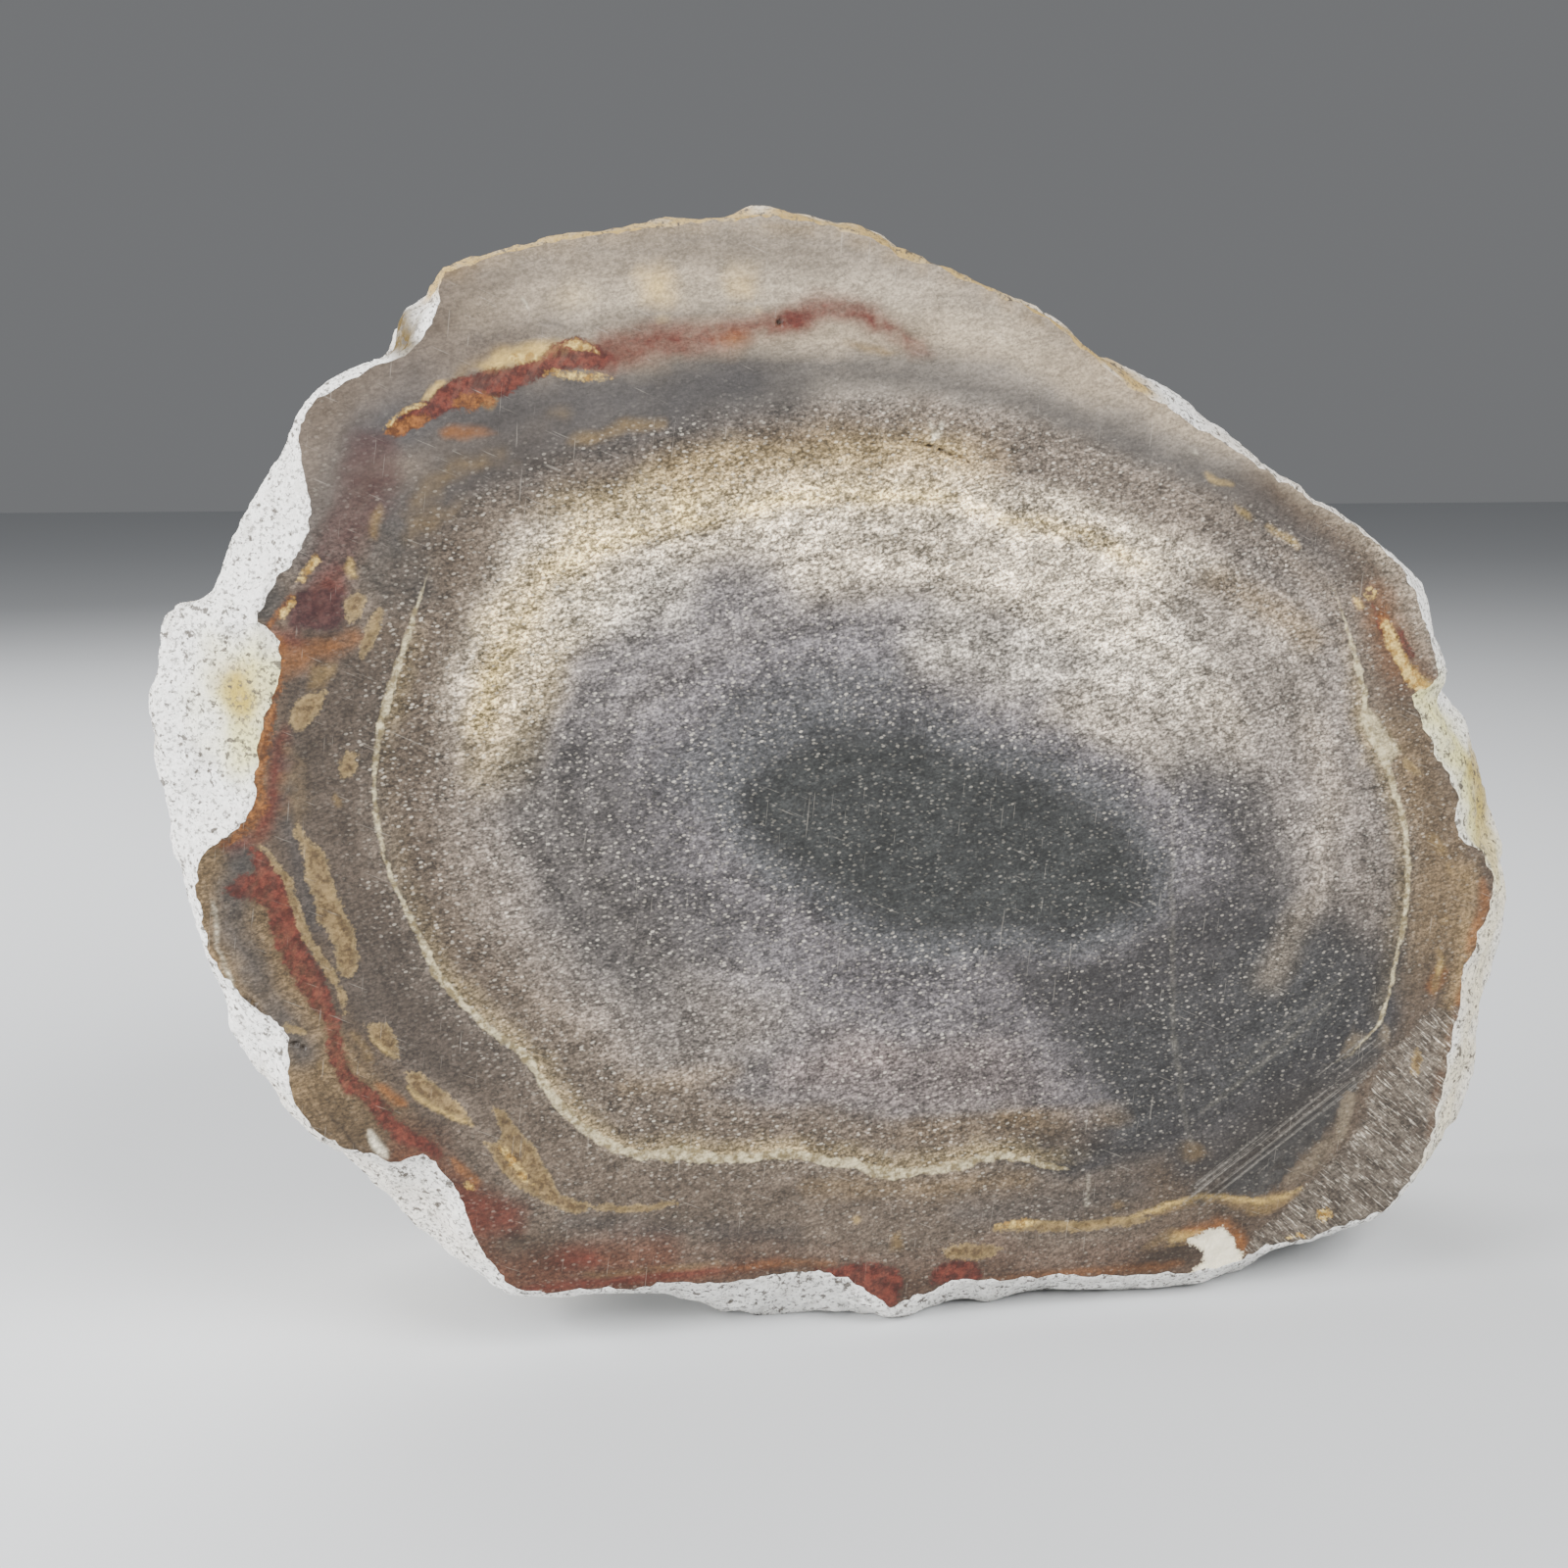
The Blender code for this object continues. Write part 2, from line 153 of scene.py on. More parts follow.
# Where the pores are fainter: middle angle and half width in degrees, softness, from ring, soft ring, by how much
poreGaps = [(90, 55, 20, 1.02, 0.08, 0.85), (180, 32, 16, 1.08, 0.1, 0.75), (324, 32, 16, 0.0, 0.1, 0.4)]

# Sectors that differ: from and to angle in degrees, from and to ring, tone, strength, soft angle, soft ring
sectors = [
    (35, 122, 0.46, 0.66, "paleBeige", 0.85, 22, 0.16), (35, 158, 0.64, 0.86, "paleBeige", 0.92, 22, 0.12),
    (50, 160, 0.73, 0.77, "goldenLine", 0.75, 12, 0.05), (84, 138, 0.8, 0.92, "goldenBeige", 0.7, 12, 0.08),
    (140, 170, 0.58, 0.76, "goldenLine", 0.3, 8, 0.1), (120, 168, 0.4, 0.56, "grey", 0.7, 10, 0.12),
    (30, 100, 0.18, 0.4, "warmGrey", 0.45, 20, 0.1), (20, 84, 0.86, 1, "taupe", 0.6, 15, 0.05),
    (100, 168, 0.05, 0.24, "inner", 0.7, 14, 0.08), (246, 300, 0.06, 0.24, "inner", 0.55, 14, 0.08),
    (162, 206, 0.24, 0.66, "slate", 0.72, 14, 0.14), (340, 374, 0.34, 0.57, "slate", 0.75, 12, 0.08),
    (16, 50, 0.2, 0.84, "paleBeige", 0.4, 12, 0.12), (284, 350, 0.12, 1.06, "deepSlate", 0.95, 16, 0.12),
    (300, 344, 0.4, 0.95, "coreEdge", 0.75, 14, 0.16), (226, 302, 0.14, 0.8, "lowGrey", 0.75, 14, 0.1),
    (236, 292, 0.46, 0.74, "rose", 0.45, 16, 0.1), (222, 296, 0.78, 0.92, "outerBrown", 0.5, 14, 0.06),
    (176, 292, 0.94, 0.985, "goldenBeige", 0.2, 10, 0.03), (352, 405, 0.56, 0.95, "warmGrey", 0.75, 14, 0.08),
    (262, 292, 0.8, 0.9, "tan", 0.12, 10, 0.05), (150, 200, 0.84, 1, "outerBrown", 0.65, 12, 0.05),
    (26, 110, 1, 1.07, "taupe", 0.8, 12, 0.04), (110, 165, 0.93, 1.1, "outerBrown", 0.45, 12, 0.05),
    (50, 128, 1.04, 1.26, "topGrey", 0.8, 10, 0.06), (30, 74, 1.05, 1.14, "slate", 0.4, 14, 0.05),
    (18, 128, 1.2, 1.9, "topBeige", 0.95, 10, 0.07), (126, 160, 1.12, 1.9, "taupe", 0.7, 8, 0.1),
    (160, 206, 0.98, 1.32, "deepSlate", 0.4, 10, 0.06), (162, 204, 1.4, 1.9, "tan", 0.4, 8, 0.06),
    (74, 128, 1.36, 1.9, "topGrey", 0.55, 6, 0.1), (346, 374, 1.02, 1.25, "tan", 0.3, 10, 0.08),
    (2, 30, 1.2, 1.6, "slate", 0.5, 8, 0.06), (204, 300, 1.04, 1.4, "taupe", 0.3, 10, 0.08),
    (228, 300, 1.32, 1.9, "rust", 0.16, 14, 0.06), (150, 184, 1, 1.3, "outerBrown", 0.35, 8, 0.08),
    (196, 232, 0.8, 0.97, "brownGrey", 0.6, 10, 0.06),
]

# Soft strokes: tone, strength, width, softness, points
strokes = [
    ("slate", 0.5, 3, 3, [(-33, 101.8), (-21.9, 108), (-17, 110), (-10, 110.8), (-2.6, 110), (7.3, 108.6),
        (17.5, 105.5), (28, 101.3), (38.8, 97), (52, 88)]),
    ("deepSlate", 0.3, 1.6, 2.2, [(-26, 105.5), (-14, 110.4), (-2.6, 109.6), (9, 107.5), (20, 104.2),
        (33.4, 99.2), (44, 93)]),
    ("goldenLine", 0.6, 2, 3.6, [(-46, 73), (-44.5, 83), (-40.5, 89), (-34, 92.6), (-24, 95)]),
    ("goldenLine", 0.45, 2.5, 4, [(-24, 95.5), (-10, 96.8), (2, 96.5)]),
    ("white", 0.5, 6, 6, [(-36, 84.5), (-27, 86.5)]),
    ("white", 0.45, 7, 8, [(6, 80), (20, 79), (33, 77)]),
    ("tan", 0.45, 3, 3.5, [(38, 87), (50, 80)]),
    ("tan", 0.4, 5, 4, [(-25, 99), (-8, 101.5), (10, 100)]),
    ("slate", 0.6, 7, 7, [(-35, 71), (-35.5, 62)]),
    ("slate", 0.35, 8, 8, [(-36, 54), (-33, 44), (-26, 38)]),
    ("deepSlate", 0.55, 7, 7, [(35, 66), (40, 56), (41, 45), (38, 33), (35, 24)]),
    ("rose", 0.6, 2.5, 3, [(-13, 32), (-0.5, 33)]),
    ("tan", 0.3, 1.5, 2, [(-31, 31.5), (-19, 32.3)]),
    ("tan", 0.35, 1.4, 2, [(13, 25), (28, 24)]),
    ("topBeige", 0.3, 3, 4, [(46, 40), (52, 50), (53, 62), (50, 70)]),
    ("topBeige", 0.5, 4, 5, [(-46, 116), (-34, 119), (-20, 120)]),
    ("brownGrey", 0.4, 2.5, 3.5, [(-50, 117), (-40, 120.5), (-24, 122.6), (-8, 122)]),
    ("paleBeige", 0.3, 3.5, 4.5, [(-34, 116.6), (-20, 118.6), (2, 118), (16, 112)]),
    ("tan", 0.5, 0.5, 1.5, [(-49, 119.6), (-40, 122.2), (-30, 124), (-19, 125.3), (-7.5, 124.8), (0, 122),
        (10, 118.6), (20, 113.4), (30, 106.6)]),
    ("slate", 0.6, 5, 5, [(-52, 108.5), (-60, 99), (-64, 91)]),
    ("slate", 0.5, 0.8, 1.8, [(-46, 113), (-37.6, 114.6), (-31.3, 115.2), (-24.9, 115.9), (-17.3, 116.6)]),
    ("slate", 0.75, 6, 4.5, [(-54, 95), (-46, 99.5), (-36, 103), (-25, 105.4), (-13, 107.4)]),
    ("slate", 0.9, 5.5, 4, [(-56, 103.6), (-47.2, 105.2), (-39.9, 106.3), (-30.8, 107.4), (-24.9, 108.6),
        (-17.3, 109.6)]),
    ("outerBrown", 0.55, 3.5, 4, [(-62, 105.5), (-59.3, 110.6), (-55.2, 113), (-50.1, 114.6)]),
    ("slate", 0.8, 3.5, 3, [(-71.5, 60), (-73, 52), (-70, 45), (-66, 38)]),
    ("deepSlate", 0.6, 2, 3, [(-67, 70), (-66.5, 62), (-64.5, 52)]),
    ("rust", 0.7, 6, 6, [(-55, 25), (-51, 19), (-49, 12)]),
    ("rust", 0.6, 4, 4, [(-49, 10), (-38, 11.5), (-27, 12)]),
    ("rust", 0.7, 1, 1.8, [(-44, 8.4), (-34, 8.7), (-24, 8.9), (-14, 9.5)]),
    ("deepSlate", 0.6, 1.8, 2.4, [(-38, 16.5), (-30, 15.2), (-21, 14), (-12, 12.8)]),
    ("outerBrown", 0.5, 5, 4, [(62, 74), (66.5, 66), (68, 56)]),
    ("tan", 0.6, 2.5, 3, [(71, 51), (72, 44), (70.5, 36), (70, 28)]),
    ("deepSlate", 0.85, 6, 3.5, [(37, 18), (46, 23), (54, 28), (60, 33)]),
    ("deepSlate", 0.7, 2.6, 3, [(43, 14.5), (49, 18.5), (55.5, 23)]),
    ("brownGrey", 0.5, 4, 3, [(52, 12), (60, 18), (65, 28)]),
    ("slate", 0.5, 3, 3, [(30, 15), (20, 13.5), (8, 13.5)]),
    ("tan", 0.35, 1.6, 2, [(-10, 18.3), (4, 17), (16, 17.4)]),
    ("lilac", 0.35, 2, 4, [(-4, 73.5), (10, 71), (24, 66.5), (33, 58)]),
    ("outerBrown", 0.3, 3, 4, [(-48, 33), (-36, 21), (-22, 18.5)]),
]

# Markings, the lower ones first: softness, strength, thickness, points. A patch has its outline and no thickness.
markings = {
    "slate": [
        (1, 0.8, 0, [(-69.4, 87.8), (-66.2, 88.8), (-65.8, 86), (-67.4, 83.6), (-69.8, 84.4)]),
        (2.4, 0.6, 0, [(-57, 96), (-52, 93), (-50, 86), (-55, 84), (-58.5, 88)]),
        (0.9, 0.95, 0, [(41.1, 13.8), (44.1, 16.6), (50.2, 21.2), (57.4, 26.2), (58.8, 25.6), (57.4, 25.2),
            (56.4, 24.7), (55.7, 23.3), (54.7, 21.3), (53.5, 19.4), (50.9, 17.1), (48.9, 14.7), (46.9, 12.8),
            (43.7, 12.8)]),
        (1, 0.7, 0, [(-72.6, 60.4), (-70.4, 59.8), (-69.4, 58.2), (-71, 57.4), (-73, 58)]),
    ],
    "brown": [
        (0.9, 0.4, 0, [(-66.4, 82.3), (-62.2, 83), (-61.5, 81.3), (-64, 80.1), (-66.4, 80.2)]),
        (0.5, 0.75, 0, [(-45.7, 25.4), (-45, 24.6), (-43.6, 22.2), (-42, 20.8), (-43.4, 21.2), (-44.8, 22.9)]),
        (0.4, 1, 0, [(-15.6, 7.6), (-14.4, 8.2), (-12.8, 8), (-13.2, 7.4), (-14.8, 7.3)]),
        (0.8, 0.65, 0, [(29, 4.7), (32, 6.5), (35.1, 7.1), (38.5, 6.5), (38.8, 5.6), (36.2, 4.9), (32.1, 4)]),
        (1, 0.5, 0.7, [(-44, 99.4), (-38, 100.6), (-33, 101.6), (-27, 103.3)]),
        (0.4, 0.7, 0.4, [(-45, 27), (-43.4, 24.4), (-41.6, 22), (-39.8, 19.8)]),
        (0.4, 0.75, 0.3, [(32, 6.7), (35.1, 7.3), (38.2, 6.9), (38.9, 5.6)]),
        (0.4, 0.9, 0.8, [(54, 9.4), (54.8, 9.4)]),
        (0.35, 0.9, 0.3, [(58.5, 70.6), (59.6, 69), (61, 67.5), (61.9, 66.2)]),
        (0.35, 0.95, 0.3, [(1.5, 102.6), (4.5, 101.7), (9, 99.8)]),
        (0.35, 0.9, 0.5, [(-13.7, 115.1), (-13.3, 115.1)]),
        (0.5, 0.7, 0.6, [(-12.2, 94.2), (-11.8, 94.2)]),
        (0.5, 0.6, 0.6, [(-34.2, 86.6), (-33.8, 86.6)]),
        (0.5, 0.6, 0.6, [(-37.5, 80), (-37.1, 80)]),
        (0.35, 1, 0.9, [(-24.9, 23.9), (-24.5, 23.5)]),
        (0.4, 0.9, 0.5, [(-72.8, 45.4), (-70.4, 42.6), (-68.4, 39.6), (-65.8, 38.2)]),
        (0.4, 0.8, 0.5, [(-63.4, 30.6), (-61, 27.4), (-59.6, 24.8), (-58, 22.8)]),
        (0.4, 0.8, 0.4, [(-48.6, 13.6), (-46.6, 10.4), (-44.4, 8.2)]),
    ],
    "maroon": [
        (1.8, 0.68, 0, [(-58.3, 104), (-54.6, 103), (-53.6, 99.5), (-55, 96), (-57, 92.6), (-58.8, 89.5),
            (-60, 84.2), (-60.8, 83), (-66, 83.3), (-65.9, 85.6), (-64.3, 88.4), (-62.6, 93), (-60.4, 97),
            (-59.6, 101)]),
        (0.7, 1, 0, [(-64.4, 87.3), (-60.2, 87.2), (-60.1, 84.2), (-60.8, 83), (-66, 83.3), (-65.9, 85.3)]),
    ],
    "red": [
        (0.5, 1, 0, [(-55.6, 103.4), (-54.7, 104.5), (-53, 105.7), (-51.3, 106.5), (-50.1, 107.5), (-49.1, 108.4),
            (-46.5, 109.4), (-44, 110.1), (-41.5, 110.4), (-39.7, 111.1), (-38, 112.4), (-35.2, 113.5),
            (-33.1, 112.5), (-31.6, 111.3), (-32.5, 110), (-35, 110), (-37.3, 109.7), (-39.9, 108.9),
            (-42, 107.6), (-44.1, 106.8), (-46.5, 105.9), (-48.6, 105.7), (-51, 104.4), (-53.7, 103)]),
        (1.5, 0.86, 0, [(-35.6, 111.9), (-32.4, 113.7), (-28.1, 114.8), (-22.7, 115), (-16.2, 115.6),
            (-13.6, 116.4), (-9.8, 118.1), (-6.5, 118.2), (-2.4, 116.8), (-0.7, 115), (1.6, 113.8), (4, 112),
            (1.5, 111.9), (-1.6, 113.4), (-4.6, 115), (-8, 115.6), (-11, 114.2), (-13.3, 113.7), (-16.2, 113.3),
            (-18.1, 112.3), (-21.9, 111.8), (-25.7, 111.2), (-31.4, 109.8), (-33.5, 109.8)]),
        (1, 0.85, 0, [(-14, 115.6), (-11, 116), (-8.5, 115.2), (-10.5, 114.4), (-13, 114.2)]),
        (1, 0.8, 0, [(-5.2, 116.6), (-3, 115.9), (-1.4, 114.2), (-3.6, 114.3)]),
        (1.2, 0.55, 0, [(-62.5, 88.8), (-60.6, 89.6), (-59.8, 87), (-61.4, 84), (-64.2, 84), (-64, 86.4)]),
        (1.2, 0.6, 0, [(-67.6, 84), (-65.8, 83.2), (-63.6, 81.6), (-65.4, 80.6), (-67.4, 81)]),
        (0.6, 1, 0, [(-73.4, 56), (-72.1, 57.3), (-70.2, 57.7), (-68.3, 57), (-67.9, 55), (-70.9, 54.5),
            (-72.5, 55)]),
        (1.8, 0.76, 0, [(-50, 22), (-47, 20.6), (-42.4, 18.6), (-43, 15.8), (-47.6, 15.6), (-50.4, 18.4)]),
        (1.2, 0.8, 0, [(-39.9, 12.6), (-37, 13.4), (-33.8, 12.6), (-34.6, 11), (-38, 10.8)]),
        (0.7, 0.95, 0, [(-9.4, 8.3), (-6, 8.4), (-3.8, 8.9), (0.2, 7.7), (1.3, 6.2), (0.6, 3.6), (-0.3, 2.4),
            (-2.7, 4), (-4.6, 5.8), (-7.3, 7.2)]),
        (0.7, 0.9, 0, [(4.4, 6.8), (5.9, 7.8), (8.1, 8), (10.3, 7.4), (10.8, 5.9), (10.6, 4.8), (8, 5), (4.9, 5)]),
        (1.2, 0.75, 1.6, [(-66.5, 72.6), (-67.6, 70), (-67.7, 66.6), (-68.6, 64.1), (-69.9, 61.5), (-73, 60.4)]),
        (0.7, 1, 3, [(-69.9, 59.7), (-68.7, 57.3), (-68, 54.6), (-67.4, 52.3), (-66.9, 49.9), (-66, 47.8),
            (-64.9, 45.7), (-63.9, 43.3), (-62.9, 41.2)]),
        (0.7, 0.95, 1.9, [(-63.6, 42), (-62.5, 39), (-62.3, 36.5), (-61.2, 34.1), (-59.2, 32.3), (-57.4, 29.8),
            (-56, 28), (-53.6, 26.6), (-51.9, 25.2)]),
        (0.9, 0.85, 1, [(-44, 8.8), (-38, 8.9), (-30, 9.1), (-21, 9.2)]),
        (0.45, 0.95, 0.6, [(57.3, 83.8), (58.2, 82), (59.4, 79.4), (60.6, 77)]),
        (0.45, 0.95, 0.8, [(60.6, 81), (61.9, 78.6), (62.9, 76.8)]),
    ],
    "orange": [
        (0.45, 1, 0, [(-55.8, 103.2), (-54.6, 104.3), (-53, 105), (-51.2, 105.3), (-50.4, 104.7), (-52, 103.8),
            (-54, 102.9)]),
        (0.7, 0.9, 0, [(-48.7, 106.6), (-47.2, 107.6), (-45.6, 107.3), (-43.9, 107.5), (-43.7, 106.3),
            (-45.8, 105.7), (-47.8, 105.7)]),
        (0.8, 0.75, 0, [(-49.8, 103.5), (-48.3, 104.1), (-45.2, 103.8), (-44, 103.3), (-46.8, 102.8),
            (-49.3, 102.8)]),
        (1, 0.75, 0, [(-20, 112.8), (-18.6, 113.6), (-16.6, 113.4), (-17.2, 112.3), (-19, 112)]),
        (1.6, 0.75, 0, [(-67.6, 82.2), (-65.8, 81.2), (-63.4, 81.7), (-61, 81.9), (-58.8, 83), (-58.2, 82),
            (-60.4, 80.6), (-63, 80.1), (-65, 78.8), (-67.2, 78)]),
        (0.8, 0.8, 0, [(68.5, 40), (69.6, 39.2), (69.1, 38), (67.6, 36.1), (66.5, 37.2), (67.4, 39.1)]),
        (1.2, 0.85, 0, [(35, 8.8), (36.6, 9.5), (39.1, 9.9), (41.7, 10), (43.6, 8.5), (44.5, 6.9), (44, 5.5),
            (42.6, 6.3), (42.1, 8.2), (40.5, 9), (38.7, 8.4), (36.6, 8)]),
        (0.45, 1, 0, [(57.9, 83.2), (58.9, 83.2), (59.8, 81.5), (61, 79.2), (62.1, 77.2), (63.6, 75.6),
            (64.5, 74.6), (63.2, 73.9), (61.9, 74.9), (60.6, 77.2), (59.2, 79.6), (58.3, 81.5)]),
        (3.2, 0.42, 0, [(57, 86), (60, 86), (63.6, 78), (66, 74.6), (62, 73), (58.4, 77.4), (56, 82)]),
        (0.5, 0.95, 0.9, [(-65.3, 86.6), (-66.6, 84.9), (-68.2, 83)]),
        (0.8, 0.95, 1.5, [(-66.8, 82.1), (-67.3, 79.1), (-67.3, 77.4), (-68.1, 75.6), (-68.5, 72.6),
            (-69.2, 70.1), (-69.4, 67.5), (-69.5, 65), (-70.4, 63.2), (-71.6, 61.9), (-74.1, 60.4)]),
        (0.6, 0.7, 0.8, [(-67.8, 55.8), (-67, 53), (-66, 50.2)]),
        (0.6, 0.8, 0.9, [(-58.4, 33.6), (-56.8, 32.3), (-55, 31.2)]),
        (0.6, 0.8, 1, [(-50.3, 24.6), (-48.6, 22.6), (-47.6, 21.6)]),
        (0.8, 0.5, 0.7, [(-19, 9.2), (-12, 9.4), (-7, 8.8)]),
        (0.8, 0.5, 0.9, [(11, 4.9), (18, 5.2), (25, 5), (31, 4.8), (36, 5)]),
        (0.9, 0.65, 1.6, [(73.4, 50), (74, 47), (72.6, 43), (71.9, 41.5)]),
        (0.9, 0.8, 1.1, [(72.2, 40.3), (71.7, 37.3), (70.8, 33.9), (70.1, 28.9), (68.9, 25.4), (68.3, 21.4),
            (67.9, 17.8)]),
    ],
    "ochre": [
        (0.7, 0.8, 0, [(-63.6, 79.3), (-61.1, 79.4), (-61.1, 78.8), (-62.4, 77.1), (-64.1, 76.7)]),
        (0.45, 1, 0, [(-60.1, 86.3), (-58.5, 87.1), (-57.8, 86), (-58.6, 84.5), (-59.8, 83.2)]),
        (0.45, 1, 0, [(-62, 76.8), (-64, 76.4), (-65.2, 75.7), (-65.8, 74.7), (-66, 73), (-65.3, 72.3),
            (-64, 73.2), (-63, 74.6)]),
        (0.5, 1, 0, [(-65.7, 63), (-65.1, 61.3), (-62.9, 59.3), (-62.3, 56.3), (-61.4, 53.6), (-60.2, 50.8),
            (-59.8, 47.4), (-60.4, 45.7), (-61.7, 46), (-62.3, 49.1), (-63.2, 51.5), (-64, 51.9), (-64.1, 54.6),
            (-65, 57), (-65.2, 59.6), (-66.1, 62)]),
        (0.5, 0.9, 0, [(-60.9, 67.2), (-59.5, 67.8), (-59.2, 69.8), (-60.4, 70.3), (-61.2, 69)]),
        (0.45, 1, 0, [(-59.4, 40.4), (-57.3, 40.5), (-56, 38.8), (-55.8, 36.4), (-57.2, 37.4), (-58.7, 38.9)]),
        (0.4, 1, 0, [(-55.3, 35), (-53.6, 34.6), (-51.4, 32.7), (-49.6, 31), (-48, 28.5), (-50, 29.5),
            (-52.1, 30.7), (-54.3, 32.3), (-55, 33.5)]),
        (0.4, 1, 0, [(-45.9, 30.4), (-44.6, 29.8), (-43.2, 27.6), (-41.3, 25.2), (-40.3, 23.2), (-39.2, 21),
            (-38.4, 19.6), (-37, 18.9), (-35.1, 18.2), (-35.5, 17.4), (-37.3, 17.3), (-39.2, 18.3), (-41.3, 19.6),
            (-43.2, 20.8), (-44.9, 22.8), (-46, 24.8), (-46.9, 26.3), (-45.6, 26.1), (-44.9, 27)]),
        (0.5, 1, 0, [(5.8, 9.5), (8.9, 10), (13.4, 8.9), (12.2, 8.2), (10.3, 7.7), (6.6, 8.2)]),
        (0.7, 0.85, 0, [(-0.3, 9.8), (-0.1, 11.6), (0.8, 12), (1.3, 9.8)]),
        (0.7, 0.85, 0, [(43.5, 11), (45.6, 12.6), (49, 13), (49.8, 11.8), (47, 10.3), (44.6, 10.2)]),
        (1.1, 0.5, 0, [(35.7, 20), (38, 19.8), (38.6, 18.5), (37.3, 17.6), (36, 18.2)]),
        (0.5, 0.95, 0, [(65.7, 30.2), (66.6, 28.6), (66.2, 26.6), (65.4, 26.1), (65, 28.2)]),
        (0.4, 1, 0, [(61.9, 65.9), (63.6, 64.7), (64.9, 63.4), (63.9, 63.2), (62.4, 64.3)]),
        (0.9, 0.6, 0.9, [(-48.4, 108.8), (-46.6, 110.2), (-44, 111.5), (-42.3, 112.5)]),
        (1.2, 0.6, 1.3, [(-53, 92.8), (-52.3, 95.8), (-50.5, 98.1), (-48.8, 99.4), (-46, 100.4), (-43, 101)]),
        (1, 0.5, 0.9, [(-51.3, 93.5), (-49.5, 95), (-47, 96)]),
        (0.9, 0.7, 1.2, [(-36.2, 102.4), (-33, 103), (-30, 104.1), (-26, 104.4)]),
        (1.2, 0.5, 1, [(-38, 105.2), (-35.8, 105.8)]),
        (0.6, 0.8, 0.7, [(-6.4, 113), (-3.5, 112.4), (-0.4, 112.1)]),
        (0.7, 0.8, 0.9, [(-56.4, 95.6), (-56.9, 92.6)]),
        (0.5, 0.9, 1.1, [(-56.4, 85), (-57.2, 83), (-58.4, 80.3)]),
        (0.45, 0.9, 0.8, [(-69.4, 60.4), (-68, 58.4), (-67, 56.6), (-66.2, 53.6), (-65.2, 50.8), (-64.2, 48.6),
            (-62.8, 46.4), (-61.5, 43.4), (-61.2, 41.7)]),
        (1.2, 0.45, 1.6, [(-65.6, 63), (-65.6, 66.5), (-65.4, 70)]),
        (0.5, 0.8, 0.8, [(-61.6, 65.4), (-61.2, 64.4)]),
        (0.4, 0.9, 0.9, [(-67.9, 40.8), (-65.7, 40.2)]),
        (0.5, 0.8, 0.9, [(-64.3, 36.5), (-63.8, 35.5)]),
        (0.6, 0.8, 0.8, [(-60.8, 39.6), (-59.6, 38), (-58.8, 36.3)]),
        (0.35, 0.95, 0.8, [(-34.8, 17.9), (-31, 17.4), (-25, 17.5)]),
        (0.7, 0.5, 0.5, [(-36, 9.9), (-28, 10), (-20, 9.9)]),
        (0.5, 0.95, 1.1, [(12.2, 11.3), (17.6, 11.2), (22.6, 10.8), (27.2, 10.9), (31.7, 10.8)]),
        (0.6, 0.85, 0.9, [(31.9, 11.5), (37, 12.6), (40.1, 12.9), (43.2, 11.9), (46.4, 11.2), (49, 11.9),
            (51.1, 12.9)]),
        (0.8, 0.7, 0.9, [(31.3, 7.6), (33, 8.3), (35.3, 9.2)]),
        (0.7, 0.7, 0.7, [(27, 13.1), (28.2, 13.1)]),
        (0.7, 0.6, 0.7, [(56.8, 31.2), (57.2, 30.4)]),
        (0.6, 0.85, 1.2, [(66, 56.2), (67, 55), (68.2, 53.6)]),
        (0.6, 0.8, 0.8, [(68.8, 52.4), (69.4, 51.2)]),
        (0.6, 0.8, 1, [(68.8, 46), (68.8, 44.8)]),
        (0.6, 0.85, 1.1, [(68, 42), (68.5, 39.8), (67.6, 36.6)]),
        (0.8, 0.6, 1, [(65.4, 28.8), (65.7, 27.8)]),
        (0.8, 0.6, 1, [(54.5, 9.8), (55.8, 9.6)]),
        (0.6, 0.6, 0.5, [(1.6, 102), (5, 101), (9, 99.3)]),
    ],
    "yellow": [
        (0.5, 0.95, 0, [(-43.2, 110.9), (-41.4, 111.8), (-39.3, 111.7), (-39, 111), (-41.4, 110.5)]),
        (0.9, 0.78, 0, [(-45.8, 110), (-42.9, 112.1), (-38.7, 112.8), (-34.5, 112.8), (-33.5, 112.4),
            (-36.4, 111.9), (-37.7, 111.2), (-39.3, 110.7), (-41.9, 110.3), (-44, 109.7)]),
        (0.45, 0.95, 0, [(-36.9, 112.4), (-35.4, 113.2), (-34, 112.6), (-32.9, 111.5), (-34.2, 112), (-35.6, 112)]),
        (0.8, 0.75, 0, [(-46.3, 106.4), (-45, 107.2), (-43.8, 107), (-44.3, 106)]),
        (0.45, 0.95, 0, [(-64.9, 88.2), (-64, 89.6), (-62.8, 91.1), (-62.4, 90.4), (-63.4, 89), (-64.2, 88)]),
        (0.45, 0.9, 0, [(-45.2, 25.6), (-44.3, 25.4), (-42.6, 22.6), (-41.4, 21), (-42.6, 21.4), (-44, 23.2)]),
        (0.5, 0.9, 0, [(53.3, 10.3), (54.9, 10.4), (55.7, 9.3), (54.4, 8.6), (53.5, 9.2)]),
        (1, 0.8, 0, [(63.4, 74.8), (64.6, 74.6), (66.4, 73.2), (67.8, 72.4), (67.6, 70.6), (65.6, 71.8),
            (64, 73.4)]),
        (0.8, 0.6, 0, [(34.3, 7.8), (35.4, 8.9), (37, 8.9), (38.6, 8.8), (36.4, 7.9)]),
        (0.5, 0.95, 0, [(58.6, 82), (59.7, 81.6), (61.1, 79), (62.5, 76.8), (64.1, 75.2), (65.6, 73.8),
            (64.4, 72.8), (62.3, 74.2), (60.7, 76.6), (59.1, 79.4)]),
